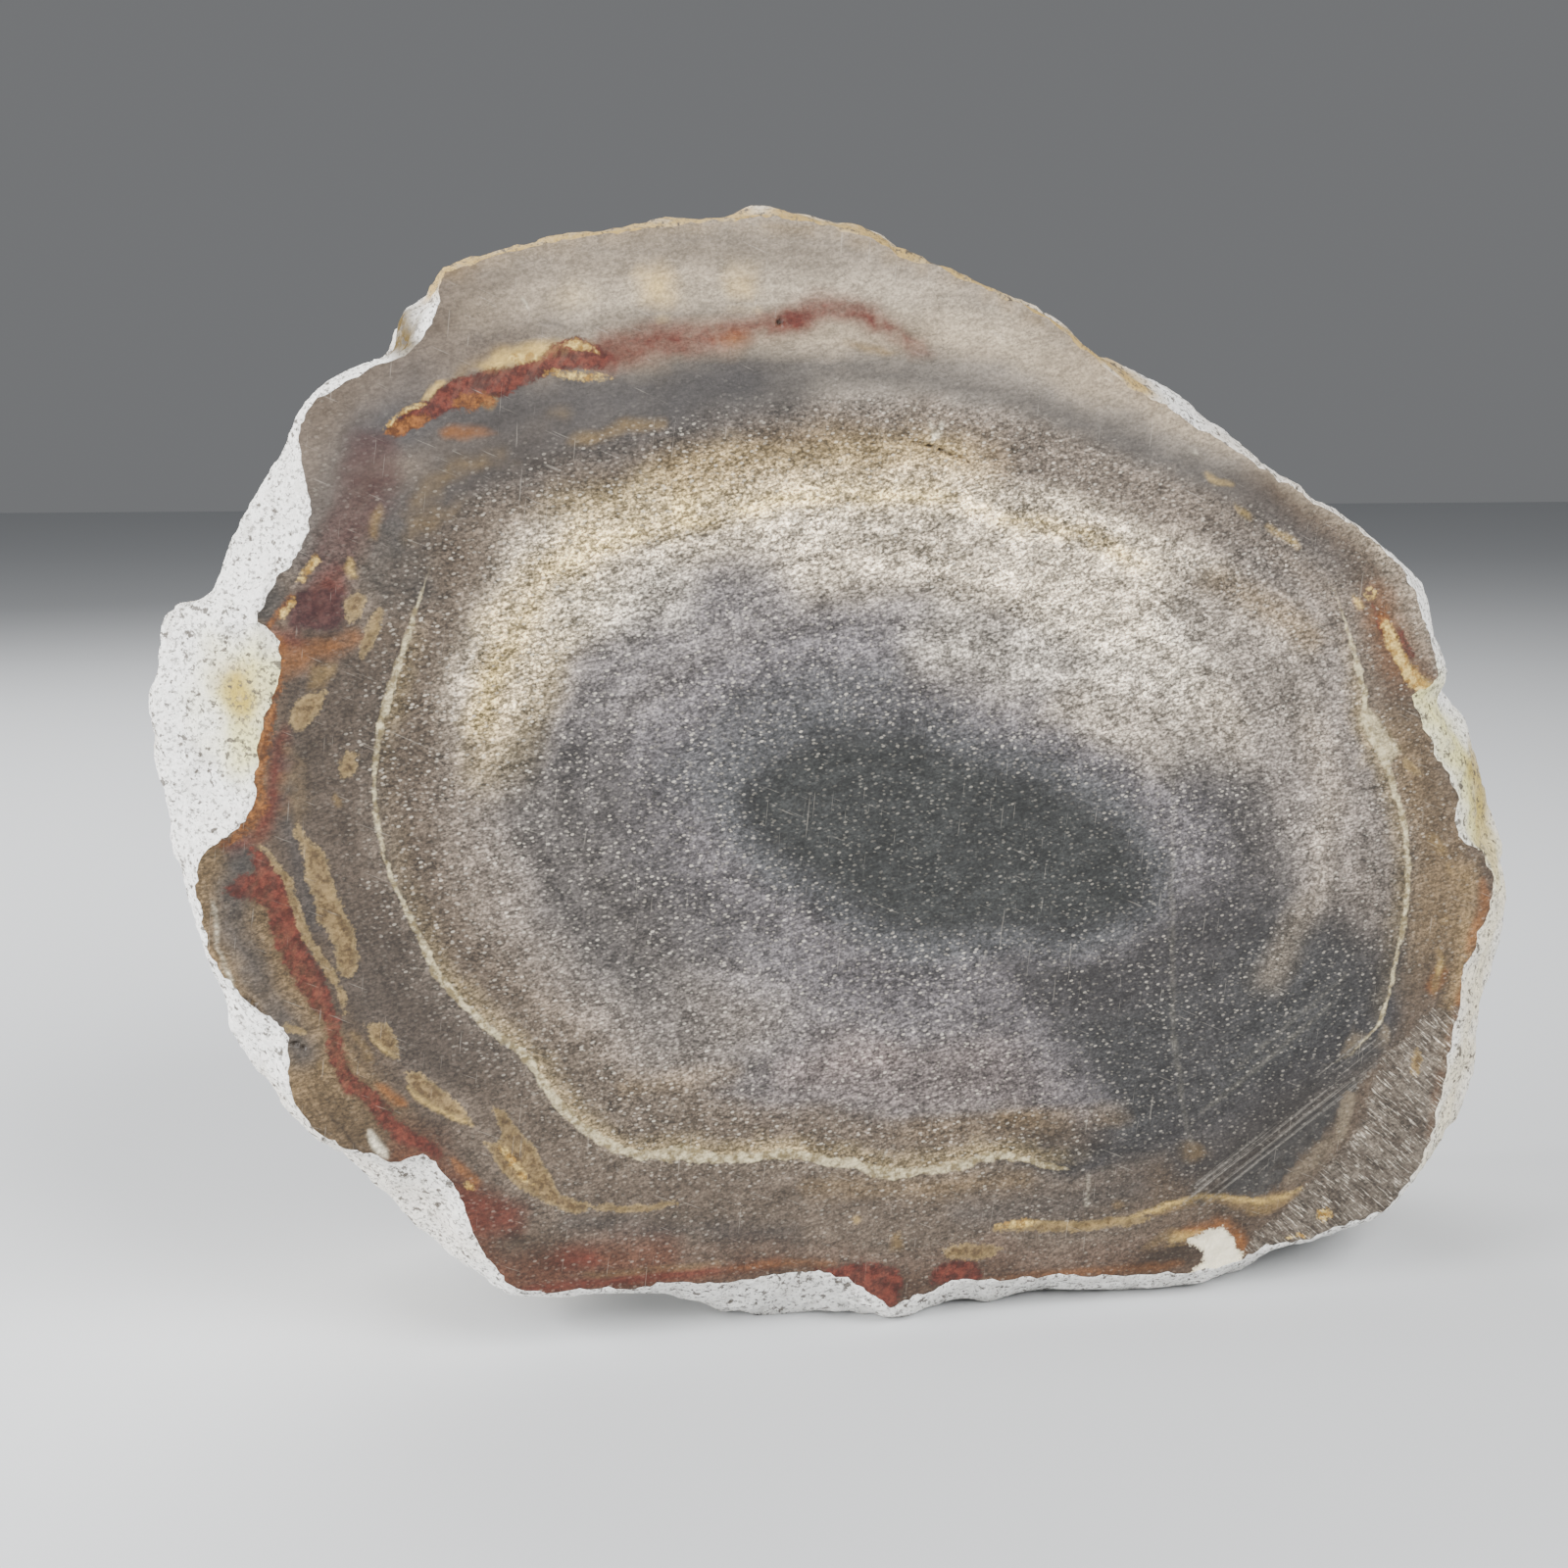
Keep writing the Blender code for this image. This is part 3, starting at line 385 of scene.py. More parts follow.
        (1.8, 0.55, 0, [(-29.1, 119.9), (-27, 120.7), (-24.8, 119.8), (-24.6, 117.7), (-26.2, 116.6),
            (-28.1, 117.1)]),
        (2, 0.2, 0, [(-37.9, 117.5), (-35.5, 118.5), (-33.1, 117.8), (-33.4, 116.8), (-36.6, 116.2)]),
        (1.6, 0.4, 0, [(-19.2, 117.8), (-17, 117.6), (-15.6, 119), (-16.6, 120.8), (-18.6, 120.8), (-19.8, 119.4)]),
        (0.35, 0.9, 0.45, [(-55.7, 103.4), (-54.6, 104.6), (-53, 105.8), (-51.2, 106.5)]),
        (0.4, 0.8, 0.7, [(-51.4, 106.8), (-50.3, 107.7), (-49.2, 108.6)]),
        (0.5, 0.92, 0.7, [(-39, 109.6), (-37.2, 109.5), (-35.1, 109.3), (-31.4, 109)]),
        (0.5, 0.7, 0.6, [(-59.5, 90.2), (-59, 88.4)]),
        (0.4, 0.9, 0.7, [(-65.2, 86.2), (-66.6, 84.4)]),
        (0.4, 0.75, 0.5, [(-56, 36.6), (-57.4, 37.5), (-58.6, 39)]),
        (0.35, 0.85, 0.5, [(-55.1, 33), (-52, 30.6), (-50, 29.3), (-48.2, 28.5)]),
        (0.4, 0.9, 0.8, [(-49, 21.8), (-48.2, 21)]),
        (0.6, 0.5, 0.6, [(-4.8, 13.8), (-4, 13.8)]),
        (0.4, 0.9, 0.9, [(12.4, 11.5), (15, 11.9), (17.6, 11.6)]),
        (0.4, 0.8, 0.5, [(17.4, 11.7), (19.5, 11.4), (22.6, 11), (25.2, 10.8), (28.8, 11.2), (31.9, 11.9),
            (34.4, 12.7), (37, 13), (40.1, 13.3), (43.2, 12.4), (46.4, 11.8), (49, 12.4), (51.1, 13.2)]),
        (0.4, 0.9, 0.5, [(49.5, 7), (50.8, 7.4), (52.4, 6.8)]),
        (0.5, 0.6, 0.6, [(68.3, 40.4), (68.1, 39)]),
        (0.35, 0.95, 0.45, [(56.3, 84.9), (56.6, 85.4), (57.2, 85.5), (57.7, 85), (57.4, 84.5), (56.7, 84.4),
            (56.3, 84.9)]),
        (0.4, 0.8, 0.5, [(55, 84.5), (56, 83.3)]),
        (0.5, 0.45, 0.6, [(36, 98.7), (37.4, 98), (39.4, 97.4)]),
        (0.5, 0.45, 0.6, [(39.5, 95.4), (41.8, 93.7)]),
        (0.6, 0.55, 0.6, [(43.7, 93), (47.8, 90.3)]),
    ],
    "pale": [
        (0.5, 1, 0, [(36.3, 8.1), (37.9, 8.3), (39.2, 8.9), (41.2, 9.1), (42.6, 7.6), (42.9, 6.3), (44, 5.7),
            (43.5, 4.4), (40.4, 3.6), (36.7, 3.4), (38.8, 5.1), (38.7, 6.4), (37.1, 7.3)]),
        (0.6, 0.08, 0.3, [(38, 23.6), (46, 29.6), (54, 35.8)]),
        (0.6, 0.05, 0.3, [(42, 28.6), (50, 34.8), (56, 39.4)]),
        (0.45, 0.4, 0.4, [(34.2, 101.4), (35, 101.2)]),
        (0.3, 0.85, 0.25, [(3.4, 102.5), (4.4, 103.4), (5.4, 104.6)]),
        (0.3, 0.7, 0.2, [(3.3, 104.4), (3.8, 103.2)]),
        (0.7, 0.07, 0.2, [(33.4, 88), (33.2, 70), (33.4, 50), (34, 34), (34.7, 29.5), (36, 23.2), (37, 19)]),
        (0.5, 0.3, 0.2, [(23.7, 17), (23.7, 13)]),
        (0.3, 0.5, 0.2, [(-41, 117.4), (-40.2, 116.2)]),
        (0.5, 0.7, 1, [(-59.2, 28.4), (-58.3, 26.6), (-57.6, 25.4)]),
        (0.4, 0.5, 0.3, [(-74.6, 55), (-74.4, 50), (-73, 45.4)]),
    ],
    "creamLine": [
        (0.5, 0.86, 0, [(57.1, 71.8), (58.5, 70.6), (59.6, 69), (61, 67.5), (61.9, 66.2), (61, 65.5), (60.2, 64),
            (59.3, 65.6), (57.9, 67.6), (56.7, 69.2), (56.2, 70.4)]),
    ],
    "tan": [
        (0.6, 0.85, 0, [(56.8, 25.3), (57.8, 25.1), (57.9, 23.6), (57.4, 21.9), (56.9, 19.9), (56.1, 18.4),
            (55.3, 19.3), (55.5, 21.3), (55.8, 23.8)]),
        (1.3, 0.6, 0, [(54.8, 19.8), (55.6, 18.5), (54.6, 16.8), (53.1, 15.4), (51, 14.3), (49.2, 13.7),
            (49.4, 15.2), (51.4, 17), (53.5, 18.9)]),
        (1, 0.6, 0, [(57.1, 32.5), (59.3, 31.6), (58.3, 30.4), (56.5, 29.3), (55.7, 29.6)]),
        (0.7, 0.45, 0, [(61.3, 33), (62.2, 31.6), (61.5, 29.7), (59.9, 30.3), (60.6, 32)]),
        (0.5, 0.6, 0.45, [(61.4, 33.2), (61.8, 30.9)]),
    ],
    "sawn": [
        (0.9, 1, 0, [(61.6, 29.3), (65.4, 31.8), (66.3, 34.1), (72.2, 35), (72, 29.8), (71, 21), (69, 13),
            (64, 8), (56, 5.4), (47, 4.8), (44.4, 5.6), (44.7, 7.6), (48, 9.6), (50.5, 12.2), (54.1, 15.2),
            (57, 18), (59.5, 22.2), (60.2, 26.2)]),
    ],
    "dragged": [
        (1.2, 1, 0, [(36, 12.6), (37.4, 15.2), (43.4, 20.4), (48.4, 24.4), (53.6, 28.2), (59.8, 32), (61.8, 30.2),
            (58.8, 26), (56.4, 24.4), (50.3, 19.8), (45, 15.6), (41.1, 13), (38, 12.2)]),
    ],
}


def toLinear(code):
    parts = [int(code[i:i + 2], 16) / 255 for i in (0, 2, 4)]
    return [c / 12.92 if c <= 0.04045 else ((c + 0.055) / 1.055) ** 2.4 for c in parts] + [1.0]


def lightness(colour):
    return colour @ np.array([0.2126, 0.7152, 0.0722])


def wetTone(code, evenly=False):
    # A polish deepens the stone, as water does: dark tones more than light ones. Evenly keeps a colour's hue.
    parts, pivot, depth = toLinear(code)[:3], slab["polishPivot"], slab["polishDepth"]
    if evenly:
        share = float(lightness(np.array(parts)) / pivot) ** (depth - 1)
        return [c * share for c in parts] + [1.0]
    return [pivot * (c / pivot) ** depth for c in parts] + [1.0]


def wander(points, size, seed):
    # Smooth noise from -1 to 1 at each point, with lumps of that size
    places = [(p[0] / size + seed, p[1] / size - seed, (p[2] if len(p) > 2 else 0.0) / size) for p in points]
    return np.array([noise.noise(Vector(p)) for p in places])


def smoothStep(value):
    value = np.clip(value, 0, 1)
    return value * value * (3 - 2 * value)


def blend(under, over, share):
    return under * (1 - share[:, None]) + over * share[:, None]


def alongPath(points, path):
    # Distance to the path, and place along it as a number of its points
    corners = np.array(path, float)[:, :2]
    best = np.full(len(points), farOff)
    place = np.zeros(len(points))
    for i, (start, end) in enumerate(zip(corners[:-1], corners[1:])):
        step = end - start
        share = np.clip(((points - start) @ step) / max(step @ step, 1e-9), 0, 1)
        away = np.hypot(*(points - start - share[:, None] * step).T)
        nearer = away < best
        best[nearer] = away[nearer]
        place[nearer] = (i + share)[nearer]
    return best, place


def insideOutline(points, outline):
    corners = np.array(outline, float)[:, :2]
    x, z = points.T
    inside = np.zeros(len(points), bool)
    for a, b in zip(corners, np.roll(corners, -1, axis=0)):
        if a[1] != b[1]:
            inside ^= ((a[1] > z) != (b[1] > z)) & (x < a[0] + (z - a[1]) * (b[0] - a[0]) / (b[1] - a[1]))
    return inside


def toOutline(points, outline):
    # Distance to a closed outline, negative inside it, and place along it
    away, place = alongPath(points, list(outline) + [outline[0]])
    return np.where(insideOutline(points, outline), -away, away), place


def near(points, shape, reach):
    # Which points are inside the shape's box, widened by the reach
    corners = np.array(shape, float)[:, :2]
    return np.all((points > corners.min(0) - reach) & (points < corners.max(0) + reach), axis=1)


def ringPlace(points):
    # Place between the heart (0) and the cream ring (1), distance to the cream ring, and its thickness there
    toHeart, _ = toOutline(points, heart)
    toCream, place = toOutline(points, creamRing)
    thickness = np.array([p[2] for p in creamRing] + [creamRing[0][2]])
    thick = np.interp(place, np.arange(len(thickness)), thickness)
    share = toHeart / np.maximum(toHeart - toCream, 1e-6)
    outside = np.where(toCream < 0, share, 1 + toCream / slab["outerReach"])
    return np.where(toHeart < 0, toHeart / slab["heartReach"], outside), toCream, thick


def allMarks():
    return [(kind, *mark) for kind, marks in markings.items() for mark in marks]


def awayFromMark(points, width, shape):
    # Distance to a patch's outline, negative inside it, or to a seam's edge. A seam wavers sideways a little.
    if not width:
        return toOutline(points, shape)[0]
    waver = slab["seamWaver"] * np.stack([wander(points, 2.3, 12.0), wander(points, 2.3, 31.0)], 1)
    away, place = alongPath(points + waver, shape)
    share = place / (len(shape) - 1)
    return away - width / 2 * np.clip(0.45 + 3.2 * share * (1 - share), 0.45, 1)


def markLevels(points):
    # How far inside a plain marking each point is, in units of its softness: 0.5 on its edge. And how near an edge is.
    limit = slab["levelLimit"]
    levels = np.full((len(points), len(channels)), -limit)
    crisp = np.full(len(points), farOff)
    for kind, soft, strength, width, shape in allMarks():
        chosen = near(points, shape, 3.6 * soft + width + slab["fineReach"])
        if not chosen.any():
            continue
        away = awayFromMark(points[chosen], width, shape)
        if soft < 1.0 and kind not in ("sawn", "dragged"):
            crisp[chosen] = np.minimum(crisp[chosen], np.maximum(away, 0) if width else np.abs(away))
        if strength >= slab["plainFrom"]:
            column = channels.index(kind)
            levels[chosen, column] = np.maximum(levels[chosen, column], np.clip(0.5 - away / soft, -limit, limit))
    return levels, crisp


def toDetail(points):
    # Distance to the nearest crisp edge or to the cream ring
    _, crisp = markLevels(points)
    _, toCream, thick = ringPlace(points)
    return np.minimum(crisp, np.where(thick > 0.05, np.abs(toCream), farOff))


def veilAt(points):
    # Colour and cover of the faint markings, laid over each other
    colour, cover = np.zeros((len(points), 3)), np.zeros(len(points))
    for kind, soft, strength, width, shape in allMarks():
        if strength >= slab["plainFrom"]:
            continue
        chosen = near(points, shape, 2 * soft + width)
        if not chosen.any():
            continue
        away = awayFromMark(points[chosen], width, shape) + 0.3 * soft * wander(points[chosen], 1.6, 8.0)
        share = smoothStep(0.5 - away / (soft * 1.3)) * strength
        paint = sum(np.array(wetTone(code, True)[:3]) for code in pigments[kind][:2]) / 2
        before, after = cover[chosen] * (1 - share), cover[chosen] * (1 - share) + share
        mixed = colour[chosen] * before[:, None] + paint * share[:, None]
        colour[chosen] = mixed / np.maximum(after, 1e-6)[:, None]
        cover[chosen] = after
    return colour, cover


def angleAt(points):
    # Degrees round the rings' middle, from the right and up
    middle = slab["ringMiddle"]
    return np.degrees(np.arctan2(points[:, 1] - middle[1], points[:, 0] - middle[0]))


def withinAngle(angle, middle, half, soft):
    # 1 within so many degrees of the middle, fading to 0 over the soft ones
    turn = np.abs((angle - middle + 180) % 360 - 180)
    return smoothStep(0.5 + (half - turn) / soft)


def ringsAt(points, place):
    # Outwards across the rings and round along them, in mm, without a seam
    angle, reach = np.radians(angleAt(points)), 55.0
    return np.stack([place * slab["outerReach"], reach * np.cos(angle), reach * np.sin(angle)], 1)


def toneAt(points, place, toCream, thick):
    # The wood's broad colour, linear, from the ring tones, the sectors and the soft strokes
    warped = place + sum(share * wander(points, size, seed) for share, size, seed in bandWander)
    linear = {name: np.array(wetTone(code)[:3]) for name, code in tones.items()}
    stops = np.array([p for p, _ in ringTones])
    ramp = np.array([linear[name] for _, name in ringTones])
    colour = np.stack([np.interp(warped, stops, ramp[:, k]) for k in range(3)], 1)
    angle = angleAt(points) + 5 * wander(points, 14.0, 11.0)
    for fromAngle, toAngle, fromRing, toRing, name, strength, softAngle, softRing in sectors:
        ringMiddle, ringHalf = (fromRing + toRing) / 2, (toRing - fromRing) / 2
        share = withinAngle(angle, (fromAngle + toAngle) / 2, (toAngle - fromAngle) / 2, softAngle) * strength
        share = share * smoothStep(0.5 + (ringHalf - np.abs(warped - ringMiddle)) / softRing)
        colour = blend(colour, linear[name], share)
    for name, strength, width, soft, path in strokes:
        chosen = near(points, path, width + soft)
        if not chosen.any():
            continue
        away = alongPath(points[chosen], path)[0] + 0.25 * soft * wander(points[chosen], 4.0, 5.5)
        share = smoothStep(0.5 + (width / 2 - away) / soft) * strength
        colour[chosen] = blend(colour[chosen], linear[name], share)
    # The golden fuzz is only where the cream ring is thick
    fuzz = smoothStep((toCream + fuzzReach + wander(points, 1.5, 1.0)) / fuzzSoft) * smoothStep((0.3 - toCream) / 0.6)
    colour = blend(colour, linear["goldenBeige"], fuzz * np.clip((thick - 0.35) * 1.4, 0, 1) * fuzzStrength)
    # Streaks that run along the rings
    along = ringsAt(points, warped)
    outer = 0.1 + 0.08 * smoothStep((warped - 0.9) / 0.2)
    streaky = 1 + outer * wander(along / [1.0, 4.5, 4.5], 3.2, 6.6) + 0.06 * wander(along / [1.0, 3.0, 3.0], 1.7, 2.6)
    return colour * streaky[:, None]


def poreShare(points, place):
    # How plainly the pale pores show: all over the wood, but hardly in its outer zone at the top
    angle = angleAt(points)
    share = np.interp(place, *zip(*poreRings))
    for middle, half, soft, fromRing, softRing, fainter in poreGaps:
        inGap = withinAngle(angle, middle, half, soft) * smoothStep((place - fromRing) / softRing)
        share = share * (1 - fainter * inGap)
    return share


def grainShare(points, place, colour):
    # How deep the fine grain is: it shows most in light wood, and least in the outer zone at the top
    outer = smoothStep((place - 1.0) / 0.08)
    top = outer * smoothStep((points[:, 1] - 90) / 8)
    return np.interp(lightness(colour), *zip(*grainDepths)) * (1 - 0.6 * top) * (1 - 0.2 * outer)


# The rind's colours, sRGB. A stain has a colour, strength, width, softness, points, and a reach from the front cut.
rindColours = {
    "white": "FAF8F3", "cream": "EEDFB4", "yellow": "E2DA90", "gold": "AC9232", "tan": "B0914E", "brown": "5C4B26",
}
rindStains = [
    ("yellow", 0.85, 7.0, 7.0, [(-70, 79), (-71, 75), (-70, 71)], 34),
    ("gold", 0.9, 3.6, 3.4, [(-71.4, 78), (-70.8, 75.6)], 16),
    ("yellow", 0.9, 6.0, 5.0, [(64, 73), (70, 67), (74, 58), (76.5, 52)], 30),
    ("gold", 0.85, 5.0, 4.0, [(75.5, 63), (77, 58), (76, 53)], 20),
    ("tan", 0.95, 5.0, 4.0, [(-50, 120), (-40, 123), (-24, 126), (-7.5, 125.6), (4, 122), (19, 115), (29, 109)], 44),
    ("cream", 0.7, 9.0, 9.0, [(78, 50), (76, 40), (75, 28), (71, 16)], 40),
    ("brown", 1.0, 3.4, 2.6, [(-53, 116), (-53, 112.6)], 22),
    ("tan", 0.35, 4.0, 8.0, [(40, 102), (56, 92)], 44),
    ("tan", 0.25, 6.0, 8.0, [(-70, 30), (-50, 14)], 44),
]


def rindTone(points):
    # Chalk, with yellow and brown stains where the photograph shows them
    linear = {name: np.array(toLinear(code)[:3]) for name, code in rindColours.items()}
    flat = points[:, [0, 2]] + [slide, 0]
    depth = points[:, 1] - slab["frontDepth"]
    colour = np.tile(linear["white"], (len(points), 1))
    for name, strength, width, soft, path, reach in rindStains:
        away = alongPath(flat, path)[0] + 0.35 * soft * wander(points, 3.5, 9.0)
        share = smoothStep(0.5 + (width / 2 - away) / soft) * strength * smoothStep((reach - depth) / 12 + 0.3)
        colour = blend(colour, linear[name], share)
    colour = colour * (1 + 0.05 * wander(points, 2.4, 14.0))[:, None]
    patchy = smoothStep((wander(points, 13.0, 21.0) - 0.12) * 3) * smoothStep((depth - 8) / 10) * 0.55
    return blend(colour, linear["tan"], patchy)


def wallMesh(node):
    # The rind between the two cuts, from a merged copy of the CAD solid, made finer and a little rounder
    work = bmesh.new()
    work.from_mesh(node.data)
    bmesh.ops.remove_doubles(work, verts=work.verts, dist=1e-6)
    front, back = slab["frontDepth"] * mm + mergeGap, slab["backDepth"] * mm - mergeGap
    cuts = [f for f in work.faces if all(v.co.y < front for v in f.verts) or all(v.co.y > back for v in f.verts)]
    bmesh.ops.delete(work, geom=cuts, context="FACES")
    bmesh.ops.subdivide_edges(work, edges=work.edges[:], cuts=2, use_grid_fill=True)
    bmesh.ops.triangulate(work, faces=work.faces[:])
    inner = [v for v in work.verts if not v.is_boundary and v.co.z > 0.3 * mm]
    for _ in range(slab["rindSmoothing"]):
        bmesh.ops.smooth_vert(work, verts=inner, factor=0.5, use_axis_x=True, use_axis_y=True, use_axis_z=True)
    work.verts.index_update()
    return work


def rimLoop(work, depth):
    # Points of the open edge at that depth, in order
    edges = [e for e in work.edges if e.is_boundary and all(abs(v.co.y - depth * mm) < mergeGap for v in e.verts)]
    joined = {}
    for e in edges:
        a, b = e.verts[0].index, e.verts[1].index
        joined.setdefault(a, []).append(b)
        joined.setdefault(b, []).append(a)
    start = min(joined)
    loop, last = [start], None
    while True:
        following = [n for n in joined[loop[-1]] if n != last]
        last = loop[-1]
        if following[0] == start or len(loop) > len(joined):
            return loop
        loop.append(following[0])


def nibble(rim):
    # How far each point of a cut's edge moves, to the inside
    tangent = np.roll(rim, -3, axis=0) - np.roll(rim, 3, axis=0)
    inward = np.stack([tangent[:, 1], -tangent[:, 0]], 1) / np.maximum(np.hypot(*tangent.T), 1e-9)[:, None]
    if np.mean(np.sum(inward * (rim.mean(0) - rim), axis=1)) < 0:
        inward = -inward
    size = slab["edgeWanderSize"]
    bite = np.clip(0.45 + 0.9 * wander(rim, size, 2.2) + 0.5 * wander(rim, size / 2.7, 6.1), 0, 1.4)
    return inward * bite[:, None] * slab["edgeWander"]


def hexGrid(low, high, spacing, seed):
    # Points in rows, each row set off by half a spacing, all a little jittered
    rows = np.arange(low[1], high[1], spacing * 0.866)
    columns = np.arange(low[0], high[0], spacing)
    x, z = np.meshgrid(columns, rows)
    x = x + (np.arange(len(rows)) % 2)[:, None] * spacing / 2
    jitter = np.random.RandomState(seed).uniform(-0.14, 0.14, (2,) + x.shape) * spacing
    return np.stack([(x + jitter[0]).ravel(), (z + jitter[1]).ravel()], 1)


def pointsInside(outline, isFront):
    # Points inside a cut's outline: at the front they lie close together near a marking and wider in plain wood
    low, high = outline.min(0), outline.max(0)
    if isFront:
        fine = hexGrid(low, high, slab["fineSpacing"], 3)
        wide = hexGrid(low, high, slab["openSpacing"], 5)
        reach = slab["fineReach"]
        fine = fine[toDetail(fine + [slide, 0]) < reach]
        inner = np.concatenate([fine, wide[toDetail(wide + [slide, 0]) > reach + slab["spacingGap"]]])
    else:
        inner = hexGrid(low, high, slab["backSpacing"], 9)
    inner = inner[insideOutline(inner, outline)]
    away, _ = alongPath(inner, np.concatenate([outline, outline[:1]]))
    return inner[away > slab["rimGap"]]


def fillCut(outline, inner):
    # Triangles over a cut, from its outline and the points inside it
    count = len(outline)
    points = [Vector(p) for p in np.concatenate([outline, inner])]
    edges = [(i, (i + 1) % count) for i in range(count)]
    made = geometry.delaunay_2d_cdt(points, edges, [list(range(count))], 1, 1e-6)
    placed, faces, origins = made[0], made[2], made[3]
    return placed, faces, [source[0] if source else -1 for source in origins]


def buildStone(node):
    # Points in mm, triangles, and what each triangle is: 0 rind, 1 front cut, 2 back cut
    work = wallMesh(node)
    wall = np.array([v.co for v in work.verts]) / mm
    faces = [[v.index for v in f.verts] for f in work.faces]
    frontRim, backRim = rimLoop(work, slab["frontDepth"]), rimLoop(work, slab["backDepth"])
    work.free()
    for loop in (frontRim, backRim):
        step = nibble(wall[loop][:, [0, 2]])
        wall[loop, 0] += step[:, 0]
        wall[loop, 2] = np.maximum(wall[loop, 2] + step[:, 1], 0)
    print("rind made finer:", len(faces), "triangles")

    points, kinds = list(wall), [0] * len(faces)
    for loop, depth, isFront in ((frontRim, slab["frontDepth"], True), (backRim, slab["backDepth"], False)):
        outline = wall[loop][:, [0, 2]]
        placed, cutFaces, origins = fillCut(outline, pointsInside(outline, isFront))
        where = {}
        for i, (p, source) in enumerate(zip(placed, origins)):
            if 0 <= source < len(loop):
                where[i] = loop[source]
            else:
                where[i] = len(points)
                points.append(np.array([p.x, depth, p.y]))
        for face in cutFaces:
            corners = [where[i] for i in face]
            a, b, c = (np.array(points[i])[[0, 2]] for i in corners[:3])
            turned = (b[0] - a[0]) * (c[1] - a[1]) - (b[1] - a[1]) * (c[0] - a[0])
            faces.append(corners if (turned > 0) == isFront else corners[::-1])
            kinds.append(1 if isFront else 2)
        print("cut filled:", len(cutFaces), "triangles")
    return np.array(points), faces, np.array(kinds)


def addNode(tree, kind, inputs=None, **settings):
    # An input takes a value, a socket, or a node, whose first live output then feeds it
    node = tree.nodes.new(kind)
    node.location = (240 * (len(tree.nodes) % 14), -320 * (len(tree.nodes) // 14))
    for name, value in settings.items():
        setattr(node, name, value)
    for name, value in (inputs or {}).items():
        if isinstance(value, bpy.types.Node):
            value = next(socket for socket in value.outputs if socket.enabled)
        if isinstance(value, bpy.types.NodeSocket):
            tree.links.new(value, node.inputs[name])
        else:
            node.inputs[name].default_value = value
    return node


# Settings that many nodes share
smooth = {"interpolation_type": "SMOOTHSTEP"}
asColour = {"data_type": "RGBA"}
inTexture = {"vector_type": "TEXTURE"}  # a Mapping that takes sizes instead of scales

rind = {
    "grainHeight": 0.3,
    "grainSize": 1.1,
    "lumpHeight": 1.0,
    "lumpSize": 4.6,
    "pitDepth": 0.7,
    "pitSize": 2.2,
    "pitStretch": 2.6,  # the wood's vessels run along the log, so its pits are drawn out that way
    "seed": 4.0,
}


def reliefTree():
    # The rind's form: lumps, grain, and pits drawn out along the log
    tree = bpy.data.node_groups.new("rindRelief", "GeometryNodeTree")
    sockets, add = tree.interface.new_socket, partial(addNode, tree)
    sockets("stone", in_out="INPUT", socket_type="NodeSocketGeometry")
    sockets("stone", in_out="OUTPUT", socket_type="NodeSocketGeometry")
    keys = {name: sockets(name, in_out="INPUT", socket_type="NodeSocketFloat").identifier for name in rind}
    keys["chalk"] = sockets("chalk", in_out="INPUT", socket_type="NodeSocketMaterial").identifier
    given = add("NodeGroupInput").outputs
    position = add("GeometryNodeInputPosition")
    inMm = add("ShaderNodeVectorMath", {0: position, "Scale": 1 / mm}, operation="SCALE")
    height = 0.0
    for size, tall, detail in (("lumpSize", "lumpHeight", 2.0), ("grainSize", "grainHeight", 3.0)):
        scale = add("ShaderNodeMath", {0: 1.0, 1: given[size]}, operation="DIVIDE")
        inputs = {"Vector": inMm, "Scale": scale, "W": given["seed"], "Detail": detail}
        cloud = add("ShaderNodeTexNoise", inputs, noise_dimensions="4D")
        centred = add("ShaderNodeMapRange", {"Value": cloud, "To Min": -1.0, "To Max": 1.0})
        height = add("ShaderNodeMath", {0: centred, 1: given[tall], 2: height}, operation="MULTIPLY_ADD")
    drawnOut = add("ShaderNodeMath", {0: given["pitSize"], 1: given["pitStretch"]}, operation="MULTIPLY")
    cell = add("ShaderNodeCombineXYZ", {"X": given["pitSize"], "Y": drawnOut, "Z": given["pitSize"]})
    stretched = add("ShaderNodeVectorMath", {0: inMm, 1: cell}, operation="DIVIDE")
    inputs = {"Vector": stretched, "Scale": 1.0, "W": given["seed"]}
    cells = add("ShaderNodeTexVoronoi", inputs, voronoi_dimensions="4D")
    inputs = {"Value": cells, "From Min": 0.1, "From Max": 0.42, "To Min": -1.0, "To Max": 0.0}
    hollow = add("ShaderNodeMapRange", inputs, **smooth)
    height = add("ShaderNodeMath", {0: hollow, 1: given["pitDepth"], 2: height}, operation="MULTIPLY_ADD")
    share = add("GeometryNodeInputNamedAttribute", {"Name": "rindShare"}, data_type="FLOAT")
    height = add("ShaderNodeMath", {0: height, 1: share}, operation="MULTIPLY")
    inMetres = add("ShaderNodeMath", {0: height, 1: mm}, operation="MULTIPLY")
    normal = add("GeometryNodeInputNormal")
    offset = add("ShaderNodeVectorMath", {0: normal, "Scale": inMetres}, operation="SCALE")
    moved = add("GeometryNodeSetPosition", {"Geometry": given["stone"], "Offset": offset})
    realized = add("GeometryNodeRealizeInstances", {"Geometry": moved})
    isRind = add("GeometryNodeInputNamedAttribute", {"Name": "isRind"}, data_type="BOOLEAN")
    inputs = {"Geometry": realized, "Selection": isRind, "Material": given["chalk"]}
    add("NodeGroupOutput", {0: add("GeometryNodeSetMaterial", inputs)})
    return tree, keys


